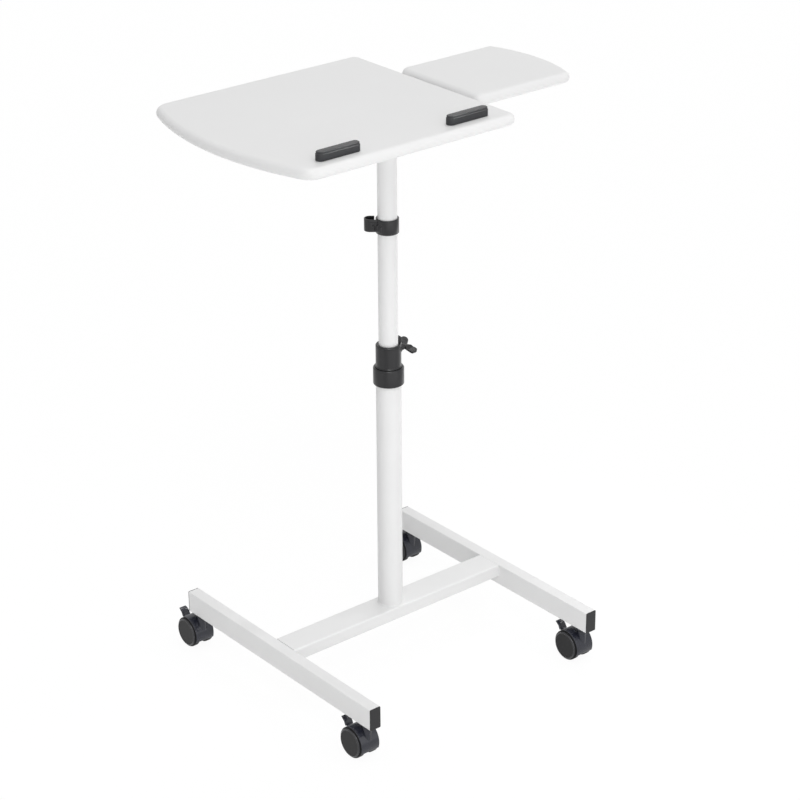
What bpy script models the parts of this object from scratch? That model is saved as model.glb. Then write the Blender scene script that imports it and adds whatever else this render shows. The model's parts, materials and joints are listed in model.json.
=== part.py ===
# Rolling laptop stand: an H-shaped base on four twin-wheel casters, a telescopic column,
# a main top that tilts and a small side top that stays level.
# Metres, +Z up. The user sits on the -Y side. The origin is on the floor, under the middle of the stand.
from math import acos, asin, atan2, cos, hypot, pi, radians, sin, sqrt

import bmesh
import bpy
from mathutils import Matrix, Vector

MM = 0.001

# Clearance between two pieces that touch, and the play of pieces that slide or turn on each other.
GAP = 0.3 * MM

# Feet and crossbar
FOOT_LENGTH = 516.6 * MM
FOOT_HEIGHT = 40.0 * MM
FOOT_WIDTH = 22.0 * MM
FOOT_SPACING = 488.0 * MM
TUBE_WALL = 1.5 * MM
TUBE_CORNER = 2.0 * MM
CROSSBAR_MARGIN = 4.75 * MM
CROSSBAR_HEIGHT = 24.0 * MM
CAP_LIP = 1.3 * MM

# Casters
WHEEL_RADIUS = 27.7 * MM
WHEEL_WIDTH = 13.1 * MM
WHEEL_INNER_FACE = 8.6 * MM
WHEEL_EDGE = 3.4 * MM
AXLE_RADIUS = 3.0 * MM
AXLE_DROP = 39.8 * MM
CASTER_TRAIL = 20.5 * MM
STEM_INSET = 22.5 * MM
STEM_RADIUS = 5.0 * MM
STEM_FLANGE = 4.5 * MM
HOOD_WALL = 1.6 * MM
HOOD_PLAY = 0.5 * MM
HOOD_SETBACK = 3.1 * MM
HOOD_FRONT = radians(-20)
HOOD_BACK = radians(108)
PEDAL_REACH = 40.2 * MM
PEDAL_WIDTH = 13.4 * MM
PEDAL_PIVOT_Y = 20.0 * MM
PEDAL_PIVOT_Z = 12.0 * MM

# Column
UPPER_DIAMETER = 33.0 * MM
COLUMN_WALL = 1.5 * MM
BUSH_WALL = 3.15 * MM
COLLAR_HEIGHT = 425.5 * MM
RING_HEIGHT = 31.0 * MM
RING_WALL = 4.45 * MM
SLEEVE_HEIGHT = 41.1 * MM
SLEEVE_WALL = 5.05 * MM
SPIGOT = 40.0 * MM
INSERTION = 165.0 * MM
INSERT_HEIGHT = 25.0 * MM
BOLT_RADIUS = 5.0 * MM
SCREW_RADIUS = 4.0 * MM
SCREW_DROP = 14.6 * MM
BOSS_RISE = 10.0 * MM
BOSS_HALF = 5.0 * MM
WING_HALF = 3.8 * MM
WING_EDGE = 0.8 * MM
WING_SPAN = 18.6 * MM
WING_REACH = 24.0 * MM
WING_ROLL = radians(19)

# Cable clip
CLIP_HEIGHT = 25.4 * MM
CLIP_RISE = 201.2 * MM
CLIP_WALL = 2.6 * MM
LOOP_HEIGHT = 21.5 * MM
LOOP_RADIUS = 10.2 * MM
LOOP_WALL = 2.2 * MM
LOOP_REACH = 28.5 * MM
LOOP_MOUTH = 2.1 * MM
LOOP_DIRECTION = radians(140.6)

# Tops
TABLE_HEIGHT = 1041.3 * MM
TOP_THICKNESS = 19.5 * MM
TOP_NOSE = 9.5 * MM
MAIN_DEPTH = 412.0 * MM
MAIN_WIDTH = 454.2 * MM
MAIN_RIGHT = 101.2 * MM
MAIN_BOW = 530.0 * MM
MAIN_BOW_CORNER = 32.0 * MM
SIDE_GAP = 8.0 * MM
SIDE_DEPTH = 204.0 * MM
SIDE_WIDTH = 222.3 * MM
SIDE_BOW = 266.0 * MM
SIDE_BOW_CORNER = 12.0 * MM
STRAIGHT_CORNER = 16.0 * MM
STOP_LENGTH = 82.0 * MM
STOP_WIDTH = 16.0 * MM
STOP_HEIGHT = 15.0 * MM
STOP_EDGE = 2.5 * MM
STOP_SPACING = 257.0 * MM
STOP_SETBACK = 29.2 * MM

# Head under the tops
BEAM_DEPTH = 40.0 * MM
BEAM_HEIGHT = 20.0 * MM
BEAM_PAST_HINGE = 26.0 * MM
BEAM_UNDER_SIDE = 82.0 * MM
PLATE = 3.0 * MM
HINGE_DROP = 15.3 * MM
HINGE_RISE = 15.5 * MM
HINGE_HALF_SPREAD = 80.0 * MM
HINGE_RADIUS = 4.0 * MM
LUG_RADIUS = 10.0 * MM
SADDLE_LENGTH = 40.0 * MM
LUG_PLAY = 0.5 * MM
BRACKET_LENGTH = 110.0 * MM
BRACKET_DEPTH = 90.0 * MM
BUMPER_RADIUS = 5.0 * MM
BUMPER_OFFSET = 14.0 * MM
KNOB_EDGE = 1.0 * MM
KNOB_LENGTH = 18.0 * MM
SIDE_PLATE_LENGTH = 150.0 * MM
SIDE_PLATE_DEPTH = 130.0 * MM

# Sizes that follow from those above
FOOT_BOTTOM = WHEEL_RADIUS + AXLE_DROP
FOOT_TOP = FOOT_BOTTOM + FOOT_HEIGHT
STEM_Y = FOOT_LENGTH / 2 - STEM_INSET
CAP_PLUG = STEM_INSET - STEM_RADIUS - CAP_LIP - 4 * MM
HOOD_INNER = WHEEL_RADIUS + HOOD_PLAY
HOOD_OUTER = HOOD_INNER + HOOD_WALL
CASTER_HALF = WHEEL_INNER_FACE + WHEEL_WIDTH
HOOD_HALF = CASTER_HALF - HOOD_SETBACK
HOUSING_RADIUS = WHEEL_INNER_FACE - 2 * GAP
HOUSING_TOP = AXLE_DROP - STEM_FLANGE - 4 * GAP
WEB_HALF = HOUSING_RADIUS - GAP
UPPER_RADIUS = UPPER_DIAMETER / 2
BUSH_INNER = UPPER_RADIUS + GAP
BUSH_OUTER = BUSH_INNER + BUSH_WALL
LOWER_INNER = BUSH_OUTER + GAP
LOWER_RADIUS = LOWER_INNER + COLUMN_WALL
CROSSBAR_DEPTH = 2 * (LOWER_RADIUS + CROSSBAR_MARGIN)
RING_RADIUS = LOWER_RADIUS + GAP + RING_WALL
SLEEVE_RADIUS = BUSH_INNER + SLEEVE_WALL
COLLAR_BOTTOM = FOOT_TOP + COLLAR_HEIGHT
RING_TOP = COLLAR_BOTTOM + RING_HEIGHT
LOWER_TOP = RING_TOP - 6 * MM
SLEEVE_TOP = RING_TOP + SLEEVE_HEIGHT
SCREW_Z = SLEEVE_TOP - SCREW_DROP
BOSS_END = SLEEVE_RADIUS + 3 * MM
TOP_UNDERSIDE = TABLE_HEIGHT - TOP_THICKNESS
HINGE_Z = TOP_UNDERSIDE - HINGE_DROP
KNOB_RADIUS = HINGE_DROP - PLATE - GAP - 0.8 * MM
BEAM_TOP = HINGE_Z - HINGE_RISE
BEAM_BOTTOM = BEAM_TOP - BEAM_HEIGHT
UPPER_BOTTOM = SLEEVE_TOP - INSERTION
CLIP_BOTTOM = SLEEVE_TOP + CLIP_RISE
SIDE_LEFT = MAIN_RIGHT + SIDE_GAP
SIDE_RIGHT = SIDE_LEFT + SIDE_WIDTH
MAIN_LEFT = MAIN_RIGHT - MAIN_WIDTH


def bow_inset(bow, depth, corner):
    """How far a bowed edge draws back from its crown to the centre line of its corner rounding."""
    half = depth / 2 - corner
    return bow - sqrt((bow - corner) ** 2 - half ** 2) - corner


# Both stops and both hinges are spread about the middle of the main top's front edge.
MAIN_MIDDLE = (MAIN_RIGHT + MAIN_LEFT + bow_inset(MAIN_BOW, MAIN_DEPTH, MAIN_BOW_CORNER)) / 2

# The column stands here, so that the stand's outline is centred on the origin.
COLUMN_X = -(SIDE_RIGHT + MAIN_LEFT) / 2
COLUMN_Y = -(STEM_Y + CASTER_TRAIL + PEDAL_REACH - FOOT_LENGTH / 2) / 2

for old in list(bpy.data.objects):
    bpy.data.objects.remove(old)

parts = bpy.data.collections.new("laptop_stand")
bpy.context.scene.collection.children.link(parts)


def material(name, red, green, blue, roughness, metallic=0.0):
    mat = bpy.data.materials.new(name)
    mat.use_nodes = True
    shader = mat.node_tree.nodes["Principled BSDF"]
    shader.inputs["Base Color"].default_value = (red, green, blue, 1.0)
    shader.inputs["Roughness"].default_value = roughness
    shader.inputs["Metallic"].default_value = metallic
    mat.diffuse_color = (red, green, blue, 1.0)
    return mat


PAINT = material("white_powder_coat", 0.80, 0.80, 0.80, 0.45)
BOARD = material("white_laminate", 0.76, 0.76, 0.76, 0.40)
PLASTIC = material("dark_grey_plastic", 0.055, 0.055, 0.058, 0.45)
RUBBER = material("charcoal_rubber", 0.07, 0.07, 0.072, 0.70)
WHEEL = material("black_nylon", 0.035, 0.036, 0.040, 0.35)
STEEL = material("zinc_plated_steel", 0.60, 0.60, 0.60, 0.35, 1.0)


def anchor(name, x, y, z, parent=None):
    """An empty on a joint's axis or at a reference point, placed in world coordinates."""
    empty = bpy.data.objects.new(name, None)
    empty.empty_display_size = 0.02
    parts.objects.link(empty)
    place = Vector((x, y, z))
    if parent is not None:
        empty.parent = parent
        place = place - Vector(parent["place"])
    empty.location = place
    empty["place"] = (x, y, z)
    return empty


def clean(mesh):
    """Weld coincident points and turn every face outwards."""
    work = bmesh.new()
    work.from_mesh(mesh)
    bmesh.ops.remove_doubles(work, verts=work.verts, dist=0.00001)
    bmesh.ops.recalc_face_normals(work, faces=work.faces)
    work.to_mesh(mesh)
    work.free()
    return mesh


def evaluated(obj):
    """The mesh that an object shows, kept on its own; the object is removed."""
    graph = bpy.context.evaluated_depsgraph_get()
    mesh = bpy.data.meshes.new_from_object(obj.evaluated_get(graph))
    data = obj.data
    bpy.data.objects.remove(obj)
    if isinstance(data, bpy.types.Curve):
        bpy.data.curves.remove(data)
    elif data.users == 0:
        bpy.data.meshes.remove(data)
    return clean(mesh)


def temporary(data):
    obj = bpy.data.objects.new("work", data)
    bpy.context.scene.collection.objects.link(obj)
    return obj


def flat(loops, half, edge=0.0, rounds=2):
    """A flat outline in X and Y, extruded by half its thickness each way along Z.
    Later loops are holes. With an edge radius, the outline bulges outwards by that radius."""
    curve = bpy.data.curves.new("outline", "CURVE")
    curve.dimensions = "2D"
    curve.fill_mode = "BOTH"
    curve.extrude = half - edge
    curve.bevel_depth = edge
    curve.bevel_resolution = rounds
    for loop in loops:
        spline = curve.splines.new("POLY")
        spline.points.add(len(loop) - 1)
        for point, (x, y) in zip(spline.points, loop):
            point.co = (x, y, 0.0, 1.0)
        spline.use_cyclic_u = True
    return evaluated(temporary(curve))


def turned(profile, steps, closed=False):
    """A profile of (radius, height) points turned about Z. It runs down its outer side."""
    mesh = bpy.data.meshes.new("profile")
    edges = [(i, i + 1) for i in range(len(profile) - 1)]
    if closed:
        edges.append((len(profile) - 1, 0))
    mesh.from_pydata([(r, 0.0, z) for r, z in profile], edges, [])
    obj = temporary(mesh)
    screw = obj.modifiers.new("turn", "SCREW")
    screw.axis = "Z"
    screw.angle = 2 * pi
    screw.steps = steps
    screw.render_steps = steps
    screw.use_merge_vertices = True
    screw.merge_threshold = 0.00001
    return evaluated(obj)


def rod(radius, z0, z1, sides=24):
    """A solid cylinder along Z between two heights."""
    work = bmesh.new()
    bmesh.ops.create_cone(work, cap_ends=True, segments=sides, radius1=radius, radius2=radius, depth=z1 - z0)
    bmesh.ops.translate(work, verts=work.verts, vec=(0, 0, (z0 + z1) / 2))
    mesh = bpy.data.meshes.new("rod")
    work.to_mesh(mesh)
    work.free()
    return mesh


def box(x0, x1, y0, y1, z0, z1):
    work = bmesh.new()
    bmesh.ops.create_cube(work, size=1.0)
    bmesh.ops.scale(work, verts=work.verts, vec=(x1 - x0, y1 - y0, z1 - z0))
    bmesh.ops.translate(work, verts=work.verts, vec=((x0 + x1) / 2, (y0 + y1) / 2, (z0 + z1) / 2))
    mesh = bpy.data.meshes.new("box")
    work.to_mesh(mesh)
    work.free()
    return mesh


ALONG_X = Matrix(((0, 0, 1, 0), (1, 0, 0, 0), (0, 1, 0, 0), (0, 0, 0, 1)))
ALONG_Y = Matrix(((1, 0, 0, 0), (0, 0, -1, 0), (0, 1, 0, 0), (0, 0, 0, 1)))


def along_x(mesh):
    """Lay a mesh so that its X, Y and Z run along Y, Z and X."""
    mesh.transform(ALONG_X)
    return mesh


def along_y(mesh):
    """Lay a mesh so that its X, Y and Z run along X, Z and -Y."""
    mesh.transform(ALONG_Y)
    return mesh


def shifted(mesh, x, y, z):
    mesh.transform(Matrix.Translation((x, y, z)))
    return mesh


def combine(mesh, tool, operation):
    """One Boolean step between two meshes; both are used up."""
    first = temporary(mesh)
    second = temporary(tool)
    step = first.modifiers.new("step", "BOOLEAN")
    step.operation = operation
    step.solver = "EXACT"
    step.object = second
    result = evaluated(first)
    bpy.data.objects.remove(second)
    bpy.data.meshes.remove(tool)
    return result


def union(mesh, *tools):
    for tool in tools:
        mesh = combine(mesh, tool, "UNION")
    return mesh


def cut(mesh, *tools):
    for tool in tools:
        mesh = combine(mesh, tool, "DIFFERENCE")
    return mesh


def piece(name, mesh, mat, parent, x=0.0, y=0.0, z=0.0, turn=(0.0, 0.0, 0.0)):
    """One named piece, placed from its parent's reference point."""
    mesh.name = name
    mesh.shade_smooth()
    mesh.set_sharp_from_angle(angle=radians(32))
    mesh.materials.clear()
    mesh.materials.append(mat)
    obj = bpy.data.objects.new(name, mesh)
    parts.objects.link(obj)
    obj.parent = parent
    obj.location = (x, y, z)
    obj.rotation_euler = turn
    return obj


def arc(cx, cy, radius, start, end, count):
    """Points on a circle from one angle to another, both ends included."""
    step = (end - start) / count
    return [(cx + radius * cos(start + i * step), cy + radius * sin(start + i * step)) for i in range(count + 1)]


def rounded(width, height, corner, count=3):
    """A rectangle centred on the origin with rounded corners."""
    x = width / 2 - corner
    y = height / 2 - corner
    loop = []
    for cx, cy, start in ((x, y, 0.0), (-x, y, pi / 2), (-x, -y, pi), (x, -y, 3 * pi / 2)):
        loop += arc(cx, cy, corner, start, start + pi / 2, count)
    return loop


def two_circles(x0, y0, r0, x1, y1, r1, count=8):
    """The outline of a band stretched round two circles."""
    away = atan2(y1 - y0, x1 - x0)
    lean = acos((r0 - r1) / hypot(x1 - x0, y1 - y0))
    loop = arc(x1, y1, r1, away - lean, away + lean, count)
    return loop + arc(x0, y0, r0, away + lean, away + 2 * pi - lean, count)


def top_outline(straight, crown, depth, bow, corner, bow_corner, inset):
    """Plan of a top with one straight edge, two square edges and one bowed edge, drawn inwards by inset.
    The corners on the bow are tangent to it and to the square edges."""
    side = 1 if crown > straight else -1
    reach = (crown - straight) * side - inset
    half = depth / 2 - inset
    bow = bow - inset
    corner = corner - inset
    bow_corner = bow_corner - inset
    centre = reach - bow
    level = half - bow_corner
    middle = centre + sqrt((bow - bow_corner) ** 2 - level ** 2)
    touch = asin(level / (bow - bow_corner))
    near = inset + corner
    loop = arc(near, corner - half, corner, -pi, -pi / 2, 5)
    loop += arc(middle, -level, bow_corner, -pi / 2, -touch, 6)
    loop += arc(centre, 0.0, bow, -touch, touch, 20)[1:-1]
    loop += arc(middle, level, bow_corner, touch, pi / 2, 6)
    loop += arc(near, half - corner, corner, pi / 2, pi, 5)
    return [(straight + side * x, side * y) for x, y in loop]


def square_tube(width, height, length, corner):
    """A rectangular tube along Z, open at both ends."""
    outer = rounded(width, height, corner)
    inner = rounded(width - 2 * TUBE_WALL, height - 2 * TUBE_WALL, corner * 0.4, 2)
    return flat([outer, inner], length / 2)


def tube_cap(width, height, corner):
    """A lip as large as the tube, from Z = 0 outwards, with a plug that goes into the tube."""
    lip = flat([rounded(width, height, corner)], CAP_LIP / 2)
    plug_width = width - 2 * TUBE_WALL - 2 * GAP
    plug_height = height - 2 * TUBE_WALL - 2 * GAP
    plug = flat([rounded(plug_width, plug_height, corner * 0.4, 2)], (CAP_PLUG + CAP_LIP / 2) / 2)
    return union(shifted(lip, 0, 0, CAP_LIP / 2), shifted(plug, 0, 0, (CAP_LIP / 2 - CAP_PLUG) / 2))


base = anchor("base_anchor", COLUMN_X, COLUMN_Y, 0.0)
lift = anchor("lift_anchor", COLUMN_X, COLUMN_Y, 0.0)
tilt = anchor("tilt_anchor", COLUMN_X, COLUMN_Y, HINGE_Z, lift)

# Feet: rectangular tube on edge, with a hole for each caster stem and a cap in each end
foot_tube_length = FOOT_LENGTH - 2 * CAP_LIP - 2 * GAP
for side, sign in (("left", -1), ("right", 1)):
    foot = along_y(square_tube(FOOT_WIDTH, FOOT_HEIGHT, foot_tube_length, TUBE_CORNER))
    low = -FOOT_HEIGHT / 2
    for end in (-1, 1):
        hole = rod(STEM_RADIUS + GAP, low - 5 * MM, low + 5 * MM)
        foot = cut(foot, shifted(hole, 0, end * STEM_Y, 0))
    foot_x = sign * FOOT_SPACING / 2
    foot_z = FOOT_BOTTOM + FOOT_HEIGHT / 2
    piece("foot_" + side, foot, PAINT, base, foot_x, 0, foot_z)
    for end, way in (("front", 1), ("back", -1)):
        cap = along_y(tube_cap(FOOT_WIDTH, FOOT_HEIGHT, TUBE_CORNER))
        seat = way * (foot_tube_length / 2 + GAP)
        turn = (0, 0, 0 if way == 1 else pi)
        piece("foot_cap_" + end + "_" + side, cap, PLASTIC, base, foot_x, -seat, foot_z, turn)

# Crossbar, flush with the tops of the feet, drilled for the column bolt
crossbar_length = FOOT_SPACING - FOOT_WIDTH - 2 * GAP
crossbar = along_x(square_tube(CROSSBAR_DEPTH, CROSSBAR_HEIGHT, crossbar_length, TUBE_CORNER * 1.4))
crossbar = cut(crossbar, rod(BOLT_RADIUS + GAP, -CROSSBAR_HEIGHT, CROSSBAR_HEIGHT))
piece("crossbar", crossbar, PAINT, base, 0, 0, FOOT_TOP - CROSSBAR_HEIGHT / 2)

# Column: lower tube, the insert and bolt that hold it down, and the two-piece collar at its top
lower_foot = FOOT_TOP + GAP
lower = turned([(LOWER_RADIUS, LOWER_TOP), (LOWER_RADIUS, lower_foot), (LOWER_INNER, lower_foot),
                (LOWER_INNER, LOWER_TOP)], 40, True)
piece("column_lower_tube", lower, PAINT, base)

insert = turned([(LOWER_INNER - GAP, lower_foot + INSERT_HEIGHT), (LOWER_INNER - GAP, lower_foot),
                 (BOLT_RADIUS + GAP, lower_foot), (BOLT_RADIUS + GAP, lower_foot + INSERT_HEIGHT)], 32, True)
piece("column_insert", insert, STEEL, base)

bolt_seat = FOOT_TOP - CROSSBAR_HEIGHT - GAP
bolt = union(rod(BOLT_RADIUS, bolt_seat - 2 * MM, lower_foot + INSERT_HEIGHT - 3 * MM),
             rod(BOLT_RADIUS * 1.75, bolt_seat - 6.5 * MM, bolt_seat, 6))
piece("column_bolt", bolt, STEEL, base)

ring_lip = SLEEVE_RADIUS + GAP
ring_bore = LOWER_RADIUS + GAP
ring_shelf = LOWER_TOP + 1 * MM
ring = turned([(ring_lip, RING_TOP), (RING_RADIUS - 2.2 * MM, RING_TOP), (RING_RADIUS - 0.5 * MM, RING_TOP - 0.9 * MM),
               (RING_RADIUS, RING_TOP - 2.2 * MM), (RING_RADIUS, COLLAR_BOTTOM + 1.2 * MM),
               (RING_RADIUS - 1.0 * MM, COLLAR_BOTTOM), (ring_bore, COLLAR_BOTTOM), (ring_bore, ring_shelf),
               (ring_lip, ring_shelf)], 36, True)
piece("collar_ring", ring, PLASTIC, base)

shoulder = LOWER_TOP + GAP
sleeve = turned([(BUSH_INNER, SLEEVE_TOP), (SLEEVE_RADIUS - 1.2 * MM, SLEEVE_TOP),
                 (SLEEVE_RADIUS, SLEEVE_TOP - 1.2 * MM), (SLEEVE_RADIUS, shoulder), (BUSH_OUTER, shoulder),
                 (BUSH_OUTER, LOWER_TOP - SPIGOT), (BUSH_INNER, LOWER_TOP - SPIGOT)], 36, True)
boss = shifted(along_x(rod(SCREW_RADIUS * 2, BUSH_INNER + SLEEVE_WALL * 0.4, BOSS_END)), 0, 0, SCREW_Z)
screw_way = shifted(along_x(rod(SCREW_RADIUS + GAP, BUSH_INNER * 0.5, BOSS_END * 1.2)), 0, 0, SCREW_Z)
lug_top = SLEEVE_TOP + BOSS_RISE
lug = [(BUSH_INNER + 0.6 * MM, SCREW_Z), (BOSS_END, SCREW_Z), (BOSS_END, lug_top - 5 * MM),
       (BOSS_END - 1.6 * MM, lug_top - 1.6 * MM), (BOSS_END - 4.2 * MM, lug_top), (BUSH_INNER + 0.6 * MM, lug_top)]
sleeve = cut(union(sleeve, boss, along_y(flat([lug], BOSS_HALF))), screw_way)
piece("collar_sleeve", sleeve, PLASTIC, base)

# Wing screw: a steel stud that presses on the upper tube, and a moulded wing with two leaning lobes
wing = anchor("wing_anchor", COLUMN_X, COLUMN_Y, SCREW_Z, base)
hub_start = BOSS_END + 2 * GAP
hub_end = hub_start + SCREW_RADIUS * 2.75
stud_end = hub_start + SCREW_RADIUS * 2.2
piece("wing_screw_stud", along_x(rod(SCREW_RADIUS, UPPER_RADIUS + GAP, stud_end)), STEEL, wing)

knob = along_x(turned([(0, hub_end), (SCREW_RADIUS * 1.15, hub_end), (SCREW_RADIUS * 1.85, hub_start), (0, hub_start)], 24))
for way in (-1, 1):
    lobe = [(hub_start + x * (WING_REACH - WING_EDGE), way * y * (WING_SPAN - WING_EDGE)) for x, y in (
        (0.22, -0.06), (0.47, -0.06), (0.80, 0.17), (0.98, 0.48), (1.0, 0.80), (0.90, 1.0), (0.63, 1.0), (0.42, 0.43))]
    knob = union(knob, flat([lobe], WING_HALF, WING_EDGE, 1))
knob = cut(knob, along_x(rod(SCREW_RADIUS + GAP, hub_start - SCREW_RADIUS, stud_end + GAP)))
piece("wing_screw_knob", knob, PLASTIC, wing, turn=(WING_ROLL, 0, 0))

# Upper tube with the guide bush on its lower end
upper_top = BEAM_BOTTOM - GAP
upper = turned([(UPPER_RADIUS, upper_top), (UPPER_RADIUS, UPPER_BOTTOM), (UPPER_RADIUS - COLUMN_WALL, UPPER_BOTTOM),
                (UPPER_RADIUS - COLUMN_WALL, upper_top)], 40, True)
piece("column_upper_tube", upper, PAINT, lift)

bush_shelf = UPPER_BOTTOM - GAP
bush_bore = UPPER_RADIUS - COLUMN_WALL - 1.5 * MM
bush = turned([(BUSH_INNER, UPPER_BOTTOM + 26 * MM), (BUSH_OUTER, UPPER_BOTTOM + 26 * MM),
               (BUSH_OUTER, bush_shelf - 4 * MM), (bush_bore, bush_shelf - 4 * MM), (bush_bore, bush_shelf),
               (BUSH_INNER, bush_shelf)], 32, True)
piece("guide_bush", bush, PLASTIC, lift)

# Cable clip: a ring round the upper tube, with a hook-shaped loop that is open at the back
clip = anchor("clip_anchor", COLUMN_X, COLUMN_Y, CLIP_BOTTOM, lift)
clip_bore = UPPER_RADIUS + GAP
clip_outer = clip_bore + CLIP_WALL
ring = turned([(clip_outer, CLIP_HEIGHT), (clip_outer, 0), (clip_bore, 0), (clip_bore, CLIP_HEIGHT)], 40, True)
mid = LOOP_RADIUS - LOOP_WALL / 2
inner = LOOP_RADIUS - LOOP_WALL
root_x = sqrt(clip_outer ** 2 - inner ** 2) - CLIP_WALL * 0.6
mouth = clip_outer + LOOP_MOUTH
hook = [(root_x, LOOP_RADIUS)] + arc(LOOP_REACH, 0, LOOP_RADIUS, pi / 2, -pi / 2, 14) + [(mouth, -LOOP_RADIUS)]
hook += [(mouth, -inner)] + arc(LOOP_REACH, 0, inner, -pi / 2, pi / 2, 14) + [(root_x, inner)]
hook = shifted(flat([hook], LOOP_HEIGHT / 2), 0, 0, CLIP_HEIGHT - LOOP_HEIGHT / 2 - 0.3 * MM)
clip_mesh = union(ring, hook)
piece("cable_clip", clip_mesh, PLASTIC, clip, turn=(0, 0, LOOP_DIRECTION))

# Head beam under both tops, with its end caps
beam_left = MAIN_MIDDLE - HINGE_HALF_SPREAD - BEAM_PAST_HINGE
beam_right = SIDE_LEFT + BEAM_UNDER_SIDE
beam_tube = beam_right - beam_left - 2 * CAP_LIP - 2 * GAP
beam_z = BEAM_BOTTOM + BEAM_HEIGHT / 2
beam_x = (beam_left + beam_right) / 2
piece("head_beam", along_x(square_tube(BEAM_DEPTH, BEAM_HEIGHT, beam_tube, TUBE_CORNER)), PAINT, lift, beam_x, 0, beam_z)
for side, sign in (("left", -1), ("right", 1)):
    cap = along_x(tube_cap(BEAM_DEPTH, BEAM_HEIGHT, TUBE_CORNER))
    turn = (0, 0, 0 if sign == 1 else pi)
    piece("beam_cap_" + side, cap, PLASTIC, lift, beam_x + sign * (beam_tube / 2 + GAP), 0, beam_z, turn)

# Tilt hinges: a saddle on the beam and a bracket under the main top at each, all on one rod
saddle_half = SADDLE_LENGTH / 2
lug_x = saddle_half - PLATE - LUG_PLAY
saddle_floor = GAP - HINGE_RISE
plate_top = HINGE_DROP - GAP
plate_low = plate_top - PLATE
for side, sign in (("left", -1), ("right", 1)):
    hinge_x = MAIN_MIDDLE + sign * HINGE_HALF_SPREAD
    saddle = box(-saddle_half, saddle_half, -BEAM_DEPTH / 2, BEAM_DEPTH / 2, saddle_floor, saddle_floor + PLATE)
    bracket = flat([rounded(BRACKET_LENGTH, BRACKET_DEPTH, 8 * MM)], PLATE / 2)
    bracket = shifted(bracket, 0, 0, plate_top - PLATE / 2)
    for way in (-1, 1):
        upright = [(LUG_RADIUS, saddle_floor + PLATE / 2)] + arc(0, 0, LUG_RADIUS, 0, pi, 12)
        upright += [(-LUG_RADIUS, saddle_floor + PLATE / 2)]
        cheek = along_x(flat([upright], PLATE / 2))
        saddle = union(saddle, shifted(cheek, way * (saddle_half - PLATE / 2), 0, 0))
        hanger = [(-LUG_RADIUS, plate_low + PLATE / 2)] + arc(0, 0, LUG_RADIUS, pi, 2 * pi, 12)
        hanger += [(LUG_RADIUS, plate_low + PLATE / 2)]
        cheek = along_x(flat([hanger], PLATE / 2))
        bracket = union(bracket, shifted(cheek, way * (lug_x - PLATE / 2), 0, 0))
    saddle = cut(saddle, along_x(rod(HINGE_RADIUS + GAP, -SADDLE_LENGTH, SADDLE_LENGTH)))
    bracket = cut(bracket, along_x(rod(HINGE_RADIUS + GAP, -SADDLE_LENGTH, SADDLE_LENGTH)))
    piece("hinge_saddle_" + side, saddle, PAINT, lift, hinge_x, 0, HINGE_Z)
    piece("tilt_bracket_" + side, bracket, PAINT, tilt, hinge_x, 0, 0)
    bumper = rod(BUMPER_RADIUS, saddle_floor + PLATE + GAP, plate_low - GAP, 20)
    piece("rest_bumper_" + side, bumper, RUBBER, lift, hinge_x, BUMPER_OFFSET, HINGE_Z)

rod_left = MAIN_MIDDLE - HINGE_HALF_SPREAD - saddle_half - KNOB_LENGTH * 0.75
rod_right = MAIN_MIDDLE + HINGE_HALF_SPREAD + saddle_half + GAP
hinge_rod = union(rod(HINGE_RADIUS, rod_left, rod_right + 2 * MM), rod(HINGE_RADIUS * 1.7, rod_right, rod_right + 4 * MM))
piece("hinge_rod", along_x(hinge_rod), STEEL, lift, 0, 0, HINGE_Z)

knob_start = MAIN_MIDDLE - HINGE_HALF_SPREAD - saddle_half - 2 * GAP
turn_anchor = anchor("tilt_knob_anchor", COLUMN_X, COLUMN_Y, HINGE_Z, lift)
lobes = 30
scallop = []
for i in range(lobes):
    angle = 2 * pi * i / lobes
    reach = (KNOB_RADIUS - KNOB_EDGE) * (0.93 + 0.07 * cos(5 * angle))
    scallop.append((reach * cos(angle), reach * sin(angle)))
tilt_knob = shifted(flat([scallop], KNOB_LENGTH / 2, KNOB_EDGE, 1), 0, 0, knob_start - KNOB_LENGTH / 2)
tilt_knob = cut(tilt_knob, rod(HINGE_RADIUS + GAP, rod_left - GAP, knob_start + KNOB_LENGTH))
piece("tilt_knob", along_x(tilt_knob), PLASTIC, turn_anchor)

# Main top with its two stops
main_loop = top_outline(MAIN_RIGHT, MAIN_LEFT, MAIN_DEPTH, MAIN_BOW, STRAIGHT_CORNER, MAIN_BOW_CORNER, TOP_NOSE)
main_top = flat([main_loop], TOP_THICKNESS / 2, TOP_NOSE, 3)
piece("main_top", main_top, BOARD, tilt, 0, 0, HINGE_DROP + TOP_THICKNESS / 2)
stop_y = STOP_SETBACK - MAIN_DEPTH / 2
stop_z = HINGE_DROP + TOP_THICKNESS + GAP
for side, sign in (("left", -1), ("right", 1)):
    run = (STOP_LENGTH - STOP_WIDTH) / 2
    stop = flat([two_circles(-run, 0, STOP_WIDTH / 2 - STOP_EDGE, run, 0, STOP_WIDTH / 2 - STOP_EDGE)],
                (STOP_HEIGHT + STOP_EDGE) / 2, STOP_EDGE, 2)
    stop = shifted(stop, 0, 0, (STOP_HEIGHT - STOP_EDGE) / 2)
    stop = cut(stop, box(-STOP_LENGTH, STOP_LENGTH, -STOP_WIDTH, STOP_WIDTH, -STOP_HEIGHT, 0))
    piece("stop_" + side, stop, RUBBER, tilt, MAIN_MIDDLE + sign * STOP_SPACING / 2, stop_y, stop_z)

# Side top on a saddle plate over the end of the beam
side_loop = top_outline(SIDE_LEFT, SIDE_RIGHT, SIDE_DEPTH, SIDE_BOW, STRAIGHT_CORNER, SIDE_BOW_CORNER, TOP_NOSE)
piece("side_top", flat([side_loop], TOP_THICKNESS / 2, TOP_NOSE, 3), BOARD, lift, 0, 0, TABLE_HEIGHT - TOP_THICKNESS / 2)

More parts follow.
